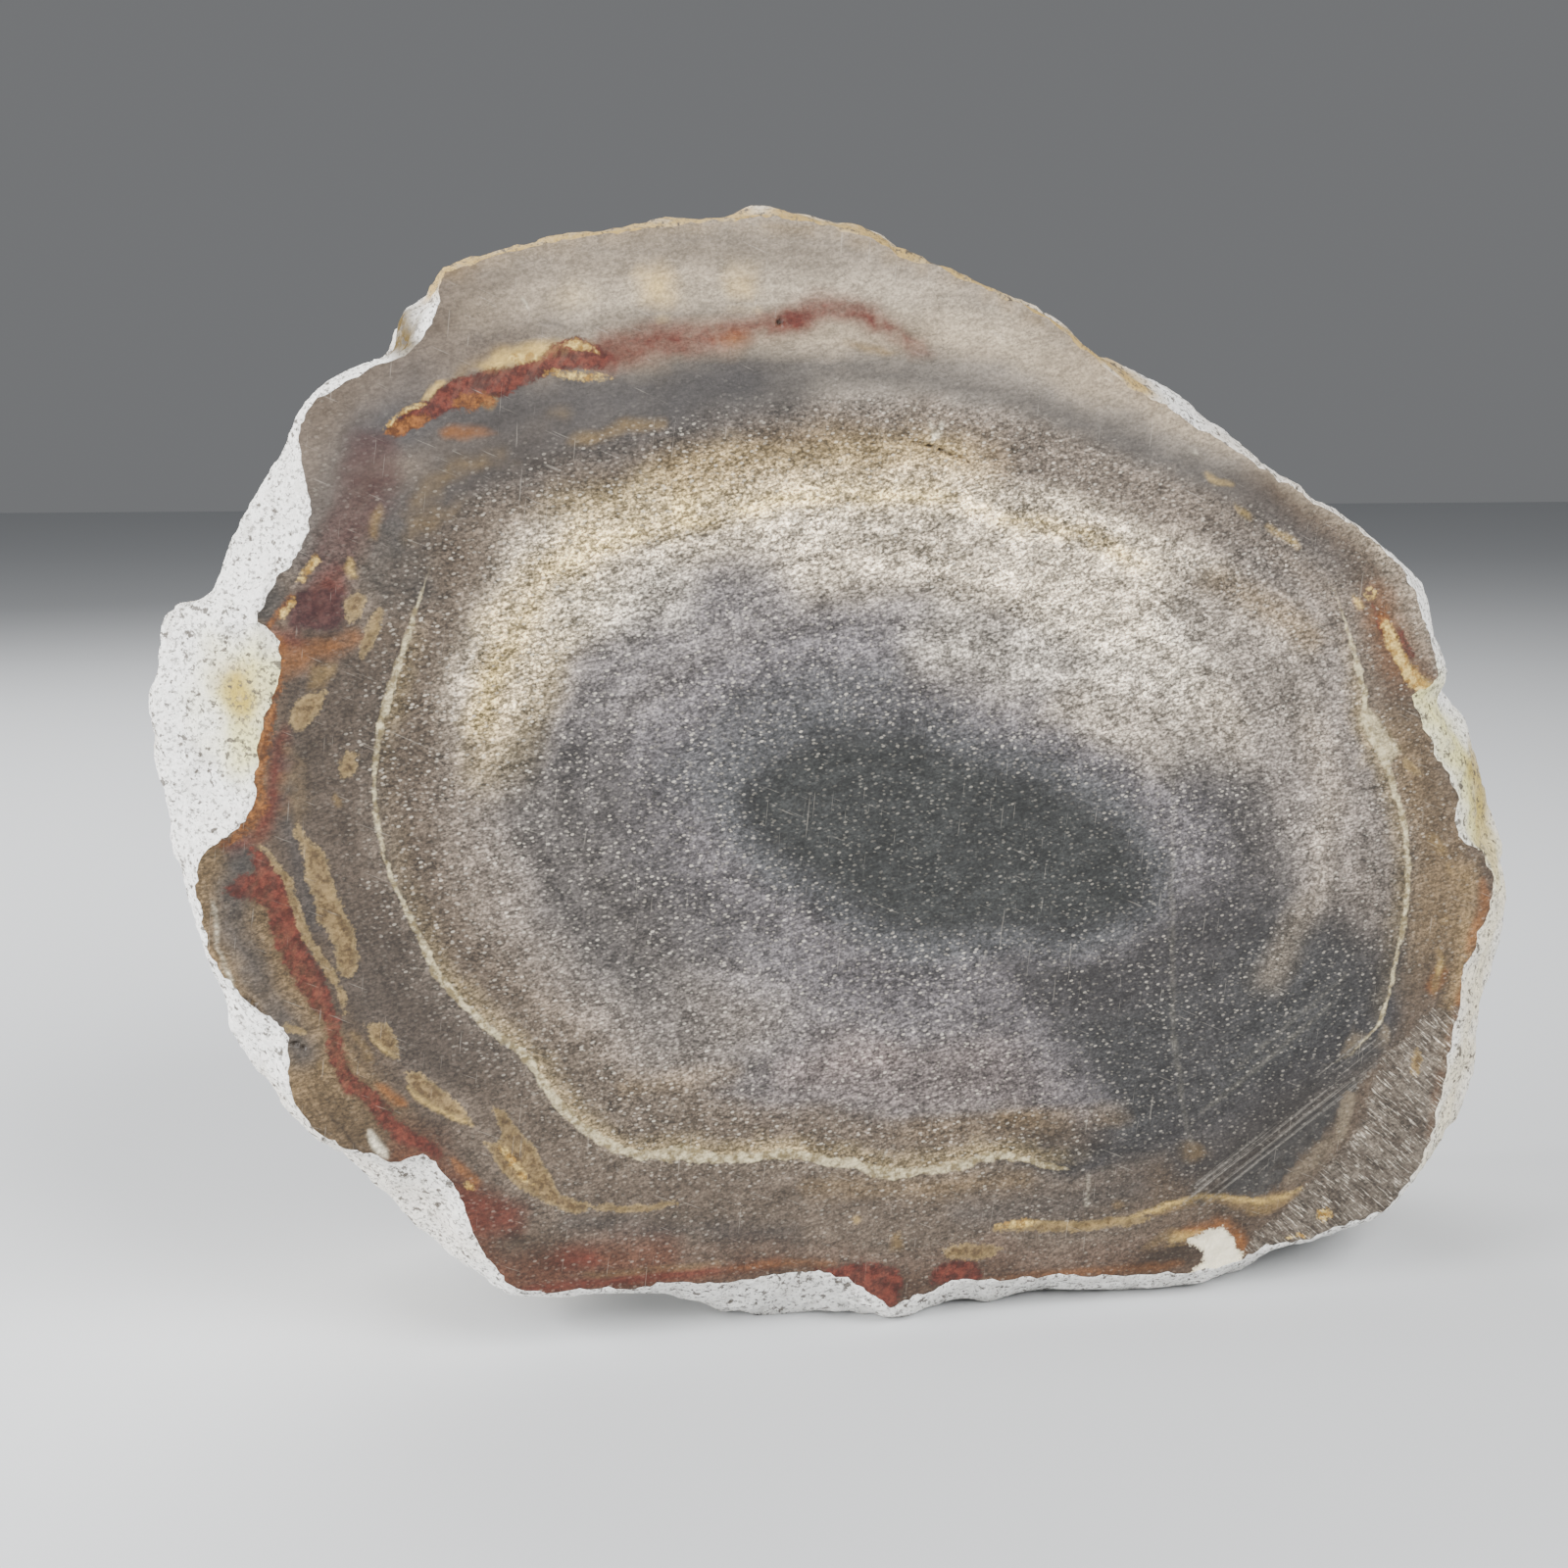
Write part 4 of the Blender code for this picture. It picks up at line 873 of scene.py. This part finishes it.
# Noises on the cuts: what each is read on, sizes along and across in mm, turn in degrees, detail and roughness
cutNoises = {
    "broad": ("flat", 11.0, 11.0, 0, 3.0, 0.55), "blotch": ("flat", 3.2, 2.0, 20, 3.0, 0.6),
    "felt": ("flat", 0.66, 0.3, 15, 2.0, 0.7), "fine": ("flat", 0.3, 0.3, 0, 1.0, 0.5),
    "squiggle": ("flat", 1.2, 0.8, 0, 2.0, 0.6), "bands": ("rings", 1.9, 50.0, 0, 2.0, 0.6),
    "streaks": ("rings", 1.0, 7.0, 0, 2.0, 0.6), "mottle": ("flat", 0.9, 0.9, 0, 4.0, 0.65),
    "ragged": ("flat", 1.3, 1.3, 0, 4.0, 0.65), "veins": ("flat", 2.4, 0.8, 60, 3.0, 0.7),
    "patchy": ("flat", 3.4, 3.4, 0, 2.0, 0.5), "uneven": ("flat", 2.2, 2.2, 0, 3.0, 0.6),
    "drag": ("flat", 34.0, 0.6, 35, 3.0, 0.7), "sawStrokes": ("flat", 2.0, 0.25, -41, 2.0, 0.6),
    "sawGround": ("flat", 3.4, 0.9, -41, 3.0, 0.6),
}

# What is read from them: the noise, its lowest and highest value, and what they turn into, evenly or smoothly
evenMasks = {
    "thinly": ("uneven", 0.35, 0.65, 0.78, 1.12), "coarse": ("ragged", 0, 1, -1.4, 1.4),
    "tiny": ("fine", 0, 1, -0.7, 0.7), "uneven": ("uneven", 0.35, 0.65, 0.6, 1.25),
    "felted": ("felt", 0.4, 0.6, 0.6, 1.1), "worn": ("blotch", 0.3, 0.7, 0.38, 0.5),
    "fainter": ("broad", 0.35, 0.65, 0.2, 1),
}
smoothMasks = {
    "mottle": ("mottle", 0.38, 0.62, 0, 1), "veins": ("veins", 0.4, 0.6, 0.8, 1), "drag": ("drag", 0.5, 0.64, 0, 0.48),
    "sawGround": ("sawGround", 0.4, 0.6, 0, 1), "sawStrokes": ("sawStrokes", 0.54, 0.68, 0, 0.62),
    "squiggles": ("patchy", 0.42, 0.6, 0, 0.34), "poresHere": ("patchy", 0.38, 0.6, 0.5, 1),
}

# Fine structure: the factors on the colour that each noise gives
grainFactors = {
    "broad": (0.36, 0.64, 0.86, 1.14), "blotch": (0.38, 0.62, 0.83, 1.17), "felt": (0.4, 0.6, 0.7, 1.3),
    "fine": (0.4, 0.6, 0.78, 1.22), "bands": (0.36, 0.64, 0.91, 1.09), "streaks": (0.38, 0.62, 0.9, 1.1),
}

# Pale pores, 0.3 to 0.5 mm wide, and finer ones between them: pitch and radius in mm, strength, turn in degrees
pores = [(0.88, 0.17, 1.25, 12), (0.55, 0.12, 0.8, -8)]

cutFinish = {
    "ior": 1.54,  # chalcedony
    "gloss": {True: 0.3, False: 0.2},  # front, back
    "bump": {True: 0.35, False: 0.7},
    "bumpDistance": 0.12,
    "dragGround": "524E4B",
    "dragLine": "A09A90",
    "sawGround": ("665C52", "8B8072"),
    "sawStroke": "D2C8B6",
    "pore": "DAD4C8",
    "inclusion": "F3E9CC",
    "scratch": "D6D0C6",
    "sawDust": "A59D93",
}


def newMaterial(name):
    material = bpy.data.materials.new(name)
    material.use_nodes = True
    material.node_tree.nodes.clear()
    return material, partial(addNode, material.node_tree)


def cutMaterial(name, polished):
    # Silicified wood, cut across. The front is a worn satin polish with a soft gloss, the back is dull from the saw.
    material, add = newMaterial(name)
    read = {}
    for label in "tone veil rings pores grain creamSide creamHalf marksA marksB marksC dragged".split():
        read[label] = add("ShaderNodeAttribute", attribute_name=label).outputs
    place = add("ShaderNodeTexCoord").outputs["Object"]
    # Millimetres, with the slab's x and z as x and y
    turn, scale = (math.radians(-90), 0, 0), (1 / mm, 1 / mm, 1 / mm)
    flat = add("ShaderNodeMapping", {"Vector": place, "Rotation": turn, "Scale": scale})
    sources = {"flat": flat, "rings": read["rings"]["Vector"]}

    def turned(source, along, across, degrees):
        size, turn = (along, across, across), (0, 0, math.radians(degrees))
        return add("ShaderNodeMapping", {"Vector": source, "Rotation": turn, "Scale": size}, **inTexture)

    cloud, mask = {}, {}
    for label, (source, along, across, degrees, detail, roughness) in cutNoises.items():
        inputs = {"Vector": turned(sources[source], along, across, degrees), "Scale": 1.0}
        cloud[label] = add("ShaderNodeTexNoise", {**inputs, "Detail": detail, "Roughness": roughness})
    for masks, settings in ((evenMasks, {}), (smoothMasks, smooth)):
        for label, (source, low, high, least, most) in masks.items():
            inputs = {"Value": cloud[source], "From Min": low, "From Max": high, "To Min": least, "To Max": most}
            mask[label] = add("ShaderNodeMapRange", inputs, **settings)

    veiled = add("ShaderNodeMath", {0: read["veil"]["Alpha"], 1: mask["thinly"]}, operation="MULTIPLY", use_clamp=True)
    colour = add("ShaderNodeMix", {0: veiled, 6: read["tone"]["Color"], 7: read["veil"]["Color"]}, **asColour)

    # Markings, the lower ones first. Their edges wander by a fraction of a millimetre, and the wood shows through them.
    ragged = add("ShaderNodeMath", {0: mask["coarse"], 1: mask["tiny"]}, operation="ADD")
    levels = []
    for label in ("marksA", "marksB", "marksC"):
        levels += list(add("ShaderNodeSeparateXYZ", {0: read[label]["Vector"]}).outputs)
    levels.append(read["dragged"]["Fac"])
    cover = {}
    for kind, level in zip(channels, levels):
        edge = add("ShaderNodeMath", {0: level, 1: ragged}, operation="ADD")
        inputs = {"Value": edge, "From Min": 0.05, "From Max": 0.95, "To Max": 0.95}
        cover[kind] = add("ShaderNodeMapRange", inputs, **smooth)
        if kind not in pigments:
            continue
        main, mottled, rim = (wetTone(code, True) for code in pigments[kind])
        paint = add("ShaderNodeMix", {0: mask["mottle"], 6: main, 7: mottled}, **asColour)
        inputs = {"Value": edge, "From Min": 0.5, "From Max": 1.6, "To Min": 0.5, "To Max": 0.0}
        paint = add("ShaderNodeMix", {0: add("ShaderNodeMapRange", inputs), 6: paint, 7: rim}, **asColour)
        share = add("ShaderNodeMath", {0: cover[kind], 1: mask["veins"]}, operation="MULTIPLY")
        colour = add("ShaderNodeMix", {0: share, 6: colour, 7: paint}, **asColour)

    # Where the blade dragged, fine straight streaks run up to the right. Below them the saw left open strokes:
    # short light lines that slant down to the right.
    dark, light = (wetTone(code, True) for code in cutFinish["sawGround"])
    ground = add("ShaderNodeMix", {0: mask["sawGround"], 6: dark, 7: light}, **asColour)
    marked = add("ShaderNodeMath", {0: cover["ochre"], 1: cover["yellow"]}, operation="ADD", use_clamp=True)
    sawn = add("ShaderNodeMath", {0: cover["sawn"], 1: marked}, operation="SUBTRACT", use_clamp=True)
    layers = [
        (cover["dragged"], 0.65, wetTone(cutFinish["dragGround"], True)),
        (cover["dragged"], mask["drag"], wetTone(cutFinish["dragLine"], True)),
        (sawn, 0.78, ground),
        (cover["sawn"], mask["sawStrokes"], wetTone(cutFinish["sawStroke"], True)),
    ]
    for covered, strength, paint in layers:
        share = add("ShaderNodeMath", {0: covered, 1: strength}, operation="MULTIPLY")
        colour = add("ShaderNodeMix", {0: share, 6: colour, 7: paint}, **asColour)
    sawStrokes = share

    factor = 0.95
    for label, (low, high, least, most) in grainFactors.items():
        inputs = {"Value": cloud[label], "From Min": low, "From Max": high, "To Min": least, "To Max": most}
        factor = add("ShaderNodeMath", {0: factor, 1: add("ShaderNodeMapRange", inputs)}, operation="MULTIPLY")
    # Short dark squiggles, where a noise crosses its middle
    crossing = add("ShaderNodeMath", {0: cloud["squiggle"], 1: 0.5, 2: 0.018}, operation="COMPARE")
    squiggle = add("ShaderNodeMath", {0: crossing, 1: mask["squiggles"]}, operation="MULTIPLY")
    lighter = add("ShaderNodeMath", {0: 1.0, 1: squiggle}, operation="SUBTRACT")
    factor = add("ShaderNodeMath", {0: factor, 1: lighter}, operation="MULTIPLY")
    factor = add("ShaderNodeMath", {0: factor, 1: read["grain"]["Fac"]}, operation="POWER")
    colour = add("ShaderNodeVectorMath", {0: colour, "Scale": factor}, operation="SCALE")

    spots = 0.0
    for pitch, radius, strength, degrees in pores:
        inputs = {"Vector": turned(flat, pitch * 1.7, pitch, degrees), "Scale": 1.0, "Randomness": 0.95}
        cells = add("ShaderNodeTexVoronoi", inputs, voronoi_dimensions="2D")
        edge = radius / pitch
        inputs = {"Value": cells, "From Min": edge, "From Max": 0.5 * edge, "To Max": strength}
        dot = add("ShaderNodeMapRange", inputs, **smooth)
        chance = add("ShaderNodeSeparateColor", {0: cells.outputs["Color"]})
        bright = add("ShaderNodeMath", {0: chance, 1: 1.6}, operation="POWER")
        dot = add("ShaderNodeMath", {0: dot, 1: bright}, operation="MULTIPLY")
        spots = add("ShaderNodeMath", {0: spots, 1: dot}, operation="MAXIMUM")
    for kind in ("pale", "sawn", "red", "ochre", "yellow"):
        spots = add("ShaderNodeMath", {0: spots, 1: cover[kind]}, operation="SUBTRACT", use_clamp=True)
    spots = add("ShaderNodeMath", {0: spots, 1: mask["poresHere"]}, operation="MULTIPLY")
    spots = add("ShaderNodeMath", {0: spots, 1: read["pores"]["Fac"]}, operation="MULTIPLY", use_clamp=True)
    brighter = add("ShaderNodeVectorMath", {0: colour, "Scale": 1.9}, operation="SCALE")
    lit = add("ShaderNodeMix", {0: 0.5, 6: brighter, 7: wetTone(cutFinish["pore"])}, **asColour)
    colour = add("ShaderNodeMix", {0: spots, 6: colour, 7: lit}, **asColour)

    # The cream ring, a broken line whose thickness varies
    side = add("ShaderNodeMath", {0: mask["coarse"], 1: 0.35, 2: read["creamSide"]["Fac"]}, operation="MULTIPLY_ADD")
    away = add("ShaderNodeMath", {0: side}, operation="ABSOLUTE")
    half = add("ShaderNodeMath", {0: read["creamHalf"]["Fac"], 1: mask["uneven"]}, operation="MULTIPLY")
    inside = add("ShaderNodeMath", {0: half, 1: away}, operation="SUBTRACT")
    inputs = {"Value": inside, "From Min": -0.15, "From Max": 0.15, "To Max": 0.85}
    line = add("ShaderNodeMapRange", inputs, **smooth)
    present = add("ShaderNodeMapRange", {"Value": read["creamHalf"]["Fac"], "From Min": 0.02, "From Max": 0.12})
    line = add("ShaderNodeMath", {0: line, 1: present}, operation="MULTIPLY")
    dark, light, _ = (wetTone(code, True) for code in pigments["creamLine"])
    cream = add("ShaderNodeMix", {0: mask["mottle"], 6: dark, 7: light}, **asColour)
    # The chalk inclusions lie over it
    layers = [(line, mask["felted"], cream), (cover["pale"], 0.75, toLinear(cutFinish["inclusion"]))]
    for covered, strength, paint in layers:
        share = add("ShaderNodeMath", {0: covered, 1: strength}, operation="MULTIPLY")
        colour = add("ShaderNodeMix", {0: share, 6: colour, 7: paint}, **asColour)

    height = add("ShaderNodeMath", {0: factor, 1: spots}, operation="SUBTRACT")
    rough = mask["worn"]
    if polished:
        # Hairline scratches from wear
        for along, degrees in ((6.0, 84), (5.0, -24)):
            inputs = {"Vector": turned(flat, along, 0.26, degrees), "Scale": 1.0, "Detail": 2.0}
            inputs = {"Value": add("ShaderNodeTexNoise", inputs), "From Min": 0.7, "From Max": 0.76, "To Max": 0.14}
            hair = add("ShaderNodeMapRange", inputs, **smooth)
            colour = add("ShaderNodeMix", {0: hair, 6: colour, 7: wetTone(cutFinish["scratch"])}, **asColour)
        # The inclusions, the ochre and the open strokes take less polish
        for kind, dull in (("ochre", 0.1), ("pale", 0.25), ("sawn", 0.25)):
            rough = add("ShaderNodeMath", {0: cover[kind], 1: dull, 2: rough}, operation="MULTIPLY_ADD")
        height = add("ShaderNodeMath", {0: height, 1: sawStrokes}, operation="ADD")
    else:
        # Shallow arcs left by a large blade, about 2 mm apart
        blade = add("ShaderNodeMapping", {"Vector": flat, "Location": (150, 210, 0)})
        inputs = {"Vector": blade, "Scale": 0.16, "Distortion": 0.7, "Detail": 2.0, "Detail Scale": 0.4}
        arcs = add("ShaderNodeTexWave", inputs, wave_type="RINGS", rings_direction="Z").outputs["Fac"]
        arcs = add("ShaderNodeMath", {0: arcs, 1: mask["fainter"]}, operation="MULTIPLY")
        colour = add("ShaderNodeMix", {0: 0.4, 6: colour, 7: wetTone(cutFinish["sawDust"])}, **asColour)
        shade = add("ShaderNodeMapRange", {"Value": arcs, "To Min": 0.93, "To Max": 1.07})
        colour = add("ShaderNodeVectorMath", {0: colour, "Scale": shade}, operation="SCALE")
        height = add("ShaderNodeMath", {0: arcs, 1: 1.4, 2: height}, operation="MULTIPLY_ADD")
        rough = add("ShaderNodeMath", {0: rough, 1: 0.3}, operation="ADD", use_clamp=True)
    strength, distance = cutFinish["bump"][polished], cutFinish["bumpDistance"] * mm
    bump = add("ShaderNodeBump", {"Height": height, "Strength": strength, "Distance": distance})
    inputs = {"Base Color": colour, "Roughness": rough, "Normal": bump, "IOR": cutFinish["ior"]}
    shader = add("ShaderNodeBsdfPrincipled", {**inputs, "Specular IOR Level": cutFinish["gloss"][polished]})
    add("ShaderNodeOutputMaterial", {"Surface": shader})
    return material


rindFinish = {
    "ior": 1.45,  # opal
    "gloss": 0.25,
    "roughness": (0.82, 0.95),
    # The grit's colour factors are painted shade: the chalk is darker where its grit lies lower.
    "gritAndShade": (0.82, 1.08),  # factors on the colour
    "powderSize": 0.4,
    "bump": 0.7,
    "bumpDistance": 0.25,
}

# Marks on the rind: size in mm, how far it is drawn out along the log, noise value where it starts and where it is
# full, strength, colour
# The pits' dark colour is painted shade in them; the bump sinks them as well.
rindMarks = {
    "damp": (2.8, 1.7, 0.5, 0.68, 0.34, "B8B2A8"), "pits": (0.44, 4.2, 0.55, 0.63, 0.65, "6C665E"),
    "flecks": (0.9, 3.6, 0.58, 0.65, 0.9, "5C554D"), "blots": (2.2, 2.2, 0.67, 0.73, 0.4, "6A6055"),
}


def chalkMaterial(name):
    # Weathered opaline rind: chalk white, dry and matte, with short pits along the log darkened with painted shade,
    # ochre stains, and painted shade where the grit lies lower
    material, add = newMaterial(name)
    place = add("ShaderNodeTexCoord").outputs["Object"]
    colour = add("ShaderNodeAttribute", attribute_name="tone").outputs["Color"]

    def drawnNoise(size, stretch):
        scale = (size * mm, size * stretch * mm, size * mm)
        drawn = add("ShaderNodeMapping", {"Vector": place, "Scale": scale}, **inTexture)
        return add("ShaderNodeTexNoise", {"Vector": drawn, "Scale": 1.0, "Detail": 3.0, "Roughness": 0.6})

    shares = {}
    for label, (size, stretch, start, full, strength, code) in rindMarks.items():
        inputs = {"Value": drawnNoise(size, stretch), "From Min": start, "From Max": full, "To Max": strength}
        shares[label] = add("ShaderNodeMapRange", inputs, **smooth)
        colour = add("ShaderNodeMix", {0: shares[label], 6: colour, 7: toLinear(code)}, **asColour)
    # Painted shade on the grit: one noise lifts the bump, lightens the colour where it is high and darkens it where it
    # is low, and sets the roughness
    gritAndShade = drawnNoise(rindFinish["powderSize"], 1.25)
    least, most = rindFinish["gritAndShade"]
    inputs = {"Value": gritAndShade, "From Min": 0.35, "From Max": 0.65, "To Min": least, "To Max": most}
    colour = add("ShaderNodeVectorMath", {0: colour, "Scale": add("ShaderNodeMapRange", inputs)}, operation="SCALE")
    height = add("ShaderNodeMath", {0: gritAndShade, 1: shares["pits"]}, operation="SUBTRACT")
    distance = rindFinish["bumpDistance"] * mm
    bump = add("ShaderNodeBump", {"Height": height, "Strength": rindFinish["bump"], "Distance": distance})
    least, most = rindFinish["roughness"]
    rough = add("ShaderNodeMapRange", {"Value": gritAndShade, "To Min": least, "To Max": most})
    inputs = {"Base Color": colour, "Roughness": rough, "Normal": bump, "IOR": rindFinish["ior"]}
    shader = add("ShaderNodeBsdfPrincipled", {**inputs, "Specular IOR Level": rindFinish["gloss"]})
    add("ShaderNodeOutputMaterial", {"Surface": shader})
    return material


def pointsOf(mesh):
    flat = np.empty(len(mesh.vertices) * 3)
    mesh.vertices.foreach_get("co", flat)
    return flat.reshape(-1, 3)


def write(mesh, label, kind, values, domain="POINT"):
    # Values go to the mesh as an attribute, which the materials and the relief read by its name
    field = {"FLOAT": "value", "BOOLEAN": "value", "FLOAT_VECTOR": "vector", "FLOAT_COLOR": "color"}[kind]
    flat = values.ravel() if kind == "BOOLEAN" else values.astype(np.float32).ravel()
    mesh.attributes.new(label, kind, domain).data.foreach_set(field, flat)


def paintStone(mesh, kinds):
    # Writes tones, rings, pores and markings to the mesh as attributes, and sinks the cracks and inclusions
    co = pointsOf(mesh) / mm
    count = len(co)
    corners = np.array([p.vertices[:] for p in mesh.polygons])
    onRind, onCut, onBack = np.zeros((3, count), bool)
    for on, chosen in ((onRind, kinds == 0), (onCut, kinds > 0), (onBack, kinds == 2)):
        on[corners[chosen].ravel()] = True
    onRim, rindOnly = onRind & onCut, onRind & ~onCut
    flat = co[:, [0, 2]] + [slide, 0]
    # The wood runs through the slab, a little narrower and turned at the back
    middle = np.array(slab["backMiddle"])
    flat[onBack] = (flat[onBack] - middle) / slab["backNarrowing"] + middle
    place, toCream, thick = ringPlace(flat)
    levels, _ = markLevels(flat)
    levels[~onCut] = -slab["levelLimit"]
    colour = np.zeros((count, 3))
    colour[onCut] = toneAt(flat[onCut], place[onCut], toCream[onCut], thick[onCut])
    colour[rindOnly] = rindTone(co[rindOnly])
    creamHalf = thick * slab["creamShare"] * np.where(onBack, 1.3, 1)
    veil = np.zeros((count, 4))
    veil[onCut, :3], veil[onCut, 3] = veilAt(flat[onCut])
    plainMarks = np.clip(levels[:, :8].max(1), 0, 1)
    grain = grainShare(flat, place, colour) * (1 - 0.5 * plainMarks) * (1 - 0.3 * veil[:, 3])
    numbers = {"pores": poreShare(flat, place), "creamSide": toCream, "creamHalf": creamHalf, "dragged": levels[:, 9]}
    for label, values in {**numbers, "grain": grain}.items():
        write(mesh, label, "FLOAT", values)
    write(mesh, "rings", "FLOAT_VECTOR", ringsAt(flat, place))
    for i, label in enumerate(("marksA", "marksB", "marksC")):
        write(mesh, label, "FLOAT_VECTOR", levels[:, 3 * i:3 * i + 3])
    write(mesh, "veil", "FLOAT_COLOR", veil)
    # Tone sits on the corners, so that the cut and the rind each keep their own up to the edge
    rindColour = colour.copy()
    rindColour[onRim] = rindTone(co[onRim])
    atCorner = corners.ravel()
    onWall = np.repeat(kinds, 3) == 0
    values = np.where(onWall[:, None], rindColour[atCorner], colour[atCorner])
    write(mesh, "tone", "FLOAT_COLOR", np.column_stack([values, np.ones(len(values))]), "CORNER")
    # Relief on the front cut
    cracks = np.clip(levels[:, channels.index("brown")], 0, 1) * slab["crackDepth"]
    chalky = np.clip(levels[:, channels.index("pale")] - 0.5, 0, 0.5) * 2 * slab["inclusionDepth"]
    chalky = chalky * (0.6 + 0.8 * wander(co, 1.2, 4.4))
    co[:, 1] += np.where(onCut & ~onRind & ~onBack, np.maximum(cracks, np.clip(chalky, 0, 1)), 0)
    # Share of the rind's relief: none on the cuts and the foot, all of it a little away from them
    share = rindOnly.astype(float)
    for away in (co[:, 1] - slab["frontDepth"], slab["backDepth"] - co[:, 1], co[:, 2] - 0.05):
        share = share * smoothStep(away / slab["reliefFade"])
    write(mesh, "rindShare", "FLOAT", share)
    write(mesh, "isRind", "BOOLEAN", kinds == 0, "FACE")
    mesh.vertices.foreach_set("co", (co * mm).ravel())


def placeObject(name, data):
    made = bpy.data.objects.new(name, data)
    bpy.context.scene.collection.objects.link(made)
    return made


def makeStone(node):
    points, faces, kinds = buildStone(node)
    mesh = bpy.data.meshes.new("stoneMesh")
    mesh.from_pydata([tuple(p) for p in points * mm], [], faces)
    paintStone(mesh, kinds)
    print("tones and markings painted")
    chalk = chalkMaterial("chalkyOpalineRind")
    for material in (cutMaterial("polishedSilicifiedWood", True), cutMaterial("sawnSilicifiedWood", False), chalk):
        mesh.materials.append(material)
    mesh.polygons.foreach_set("material_index", np.choose(kinds, [2, 0, 1]).astype(np.int32))
    mesh.polygons.foreach_set("use_smooth", kinds == 0)
    mesh.update()
    rough = placeObject("roughStone", mesh)
    tree, keys = reliefTree()
    relief = rough.modifiers.new("rindRelief", "NODES")
    relief.node_group = tree
    for name, value in rind.items():
        relief[keys[name]] = value
    relief[keys["chalk"]] = chalk
    graph = bpy.context.evaluated_depsgraph_get()
    final = bpy.data.meshes.new_from_object(rough.evaluated_get(graph), depsgraph=graph)
    bpy.data.objects.remove(rough)
    stone = placeObject("petrifiedWoodStone", final)
    final.name = "petrifiedWoodStone"
    # Nothing stands out of the solid's own box
    low, high = np.array(cadBox[0]), np.array(cadBox[1])
    final.vertices.foreach_set("co", np.clip(pointsOf(final), low, high).ravel())
    final.update()
    print("stone made:", len(final.polygons), "triangles")
    return stone


# The studio: a pale floor, soft light from the upper right in front, and the camera at the photograph's angle.
# A lamp has its place and size in metres and its power in watts, the camera its place and target in millimetres.
studio = {
    "floorHalf": 3.0,
    "floor": "DADCDE",
    "world": "C9CBCE",
    "worldStrength": 0.3,
    "lamps": {
        "keySoftbox": ((0.32, -0.62, 0.62), 0.5, 11.5),
        "sideSoftbox": ((-0.8, -0.16, 0.3), 0.6, 17.0),
        "rimSoftbox": ((-0.15, 0.5, 0.62), 0.5, 5.0),
    },
    "lampTarget": (0, 0, 0.06),
    "cameraPlace": (-67.528, -253.932, 102.701),
    "cameraTarget": (-13.982, -22.0, 65.0),
    "lens": 50.0,
}


def aim(made, place, target):
    made.location = place
    made.rotation_mode = "QUATERNION"
    made.rotation_quaternion = (Vector(place) - Vector(target)).to_track_quat("Z", "Y")


def makeStudio():
    floorMesh = bpy.data.meshes.new("paleFloor")
    half = studio["floorHalf"]
    corners = [(-half, -half, 0), (half, -half, 0), (half, half, 0), (-half, half, 0)]
    floorMesh.from_pydata(corners, [], [(0, 1, 2, 3)])
    floor = placeObject("paleFloor", floorMesh)
    paint = bpy.data.materials.new("matteFloorPaint")
    paint.use_nodes = True
    shader = paint.node_tree.nodes["Principled BSDF"]
    shader.inputs["Base Color"].default_value = toLinear(studio["floor"])
    shader.inputs["Roughness"].default_value = 0.8
    shader.inputs["Specular IOR Level"].default_value = 0.2
    floorMesh.materials.append(paint)

    for name, (place, size, power) in studio["lamps"].items():
        lamp = bpy.data.lights.new(name, "AREA")
        lamp.shape, lamp.size, lamp.energy = "SQUARE", size, power
        aim(placeObject(name, lamp), place, studio["lampTarget"])

    world = bpy.data.worlds.new("studio")
    bpy.context.scene.world = world
    world.use_nodes = True
    background = world.node_tree.nodes["Background"]
    background.inputs["Color"].default_value = toLinear(studio["world"])
    background.inputs["Strength"].default_value = studio["worldStrength"]

    lens = bpy.data.cameras.new("photoCamera")
    lens.lens, lens.sensor_width, lens.clip_start = studio["lens"], 36.0, 0.01
    lens.dof.use_dof = False
    camera = placeObject("photoCamera", lens)
    aim(camera, Vector(studio["cameraPlace"]) * mm, Vector(studio["cameraTarget"]) * mm)
    bpy.context.scene.camera = camera


stone = makeStone(cadStone)
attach(stone, "root")
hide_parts("petrified_wood_slice")
makeStudio()
print("studio made")
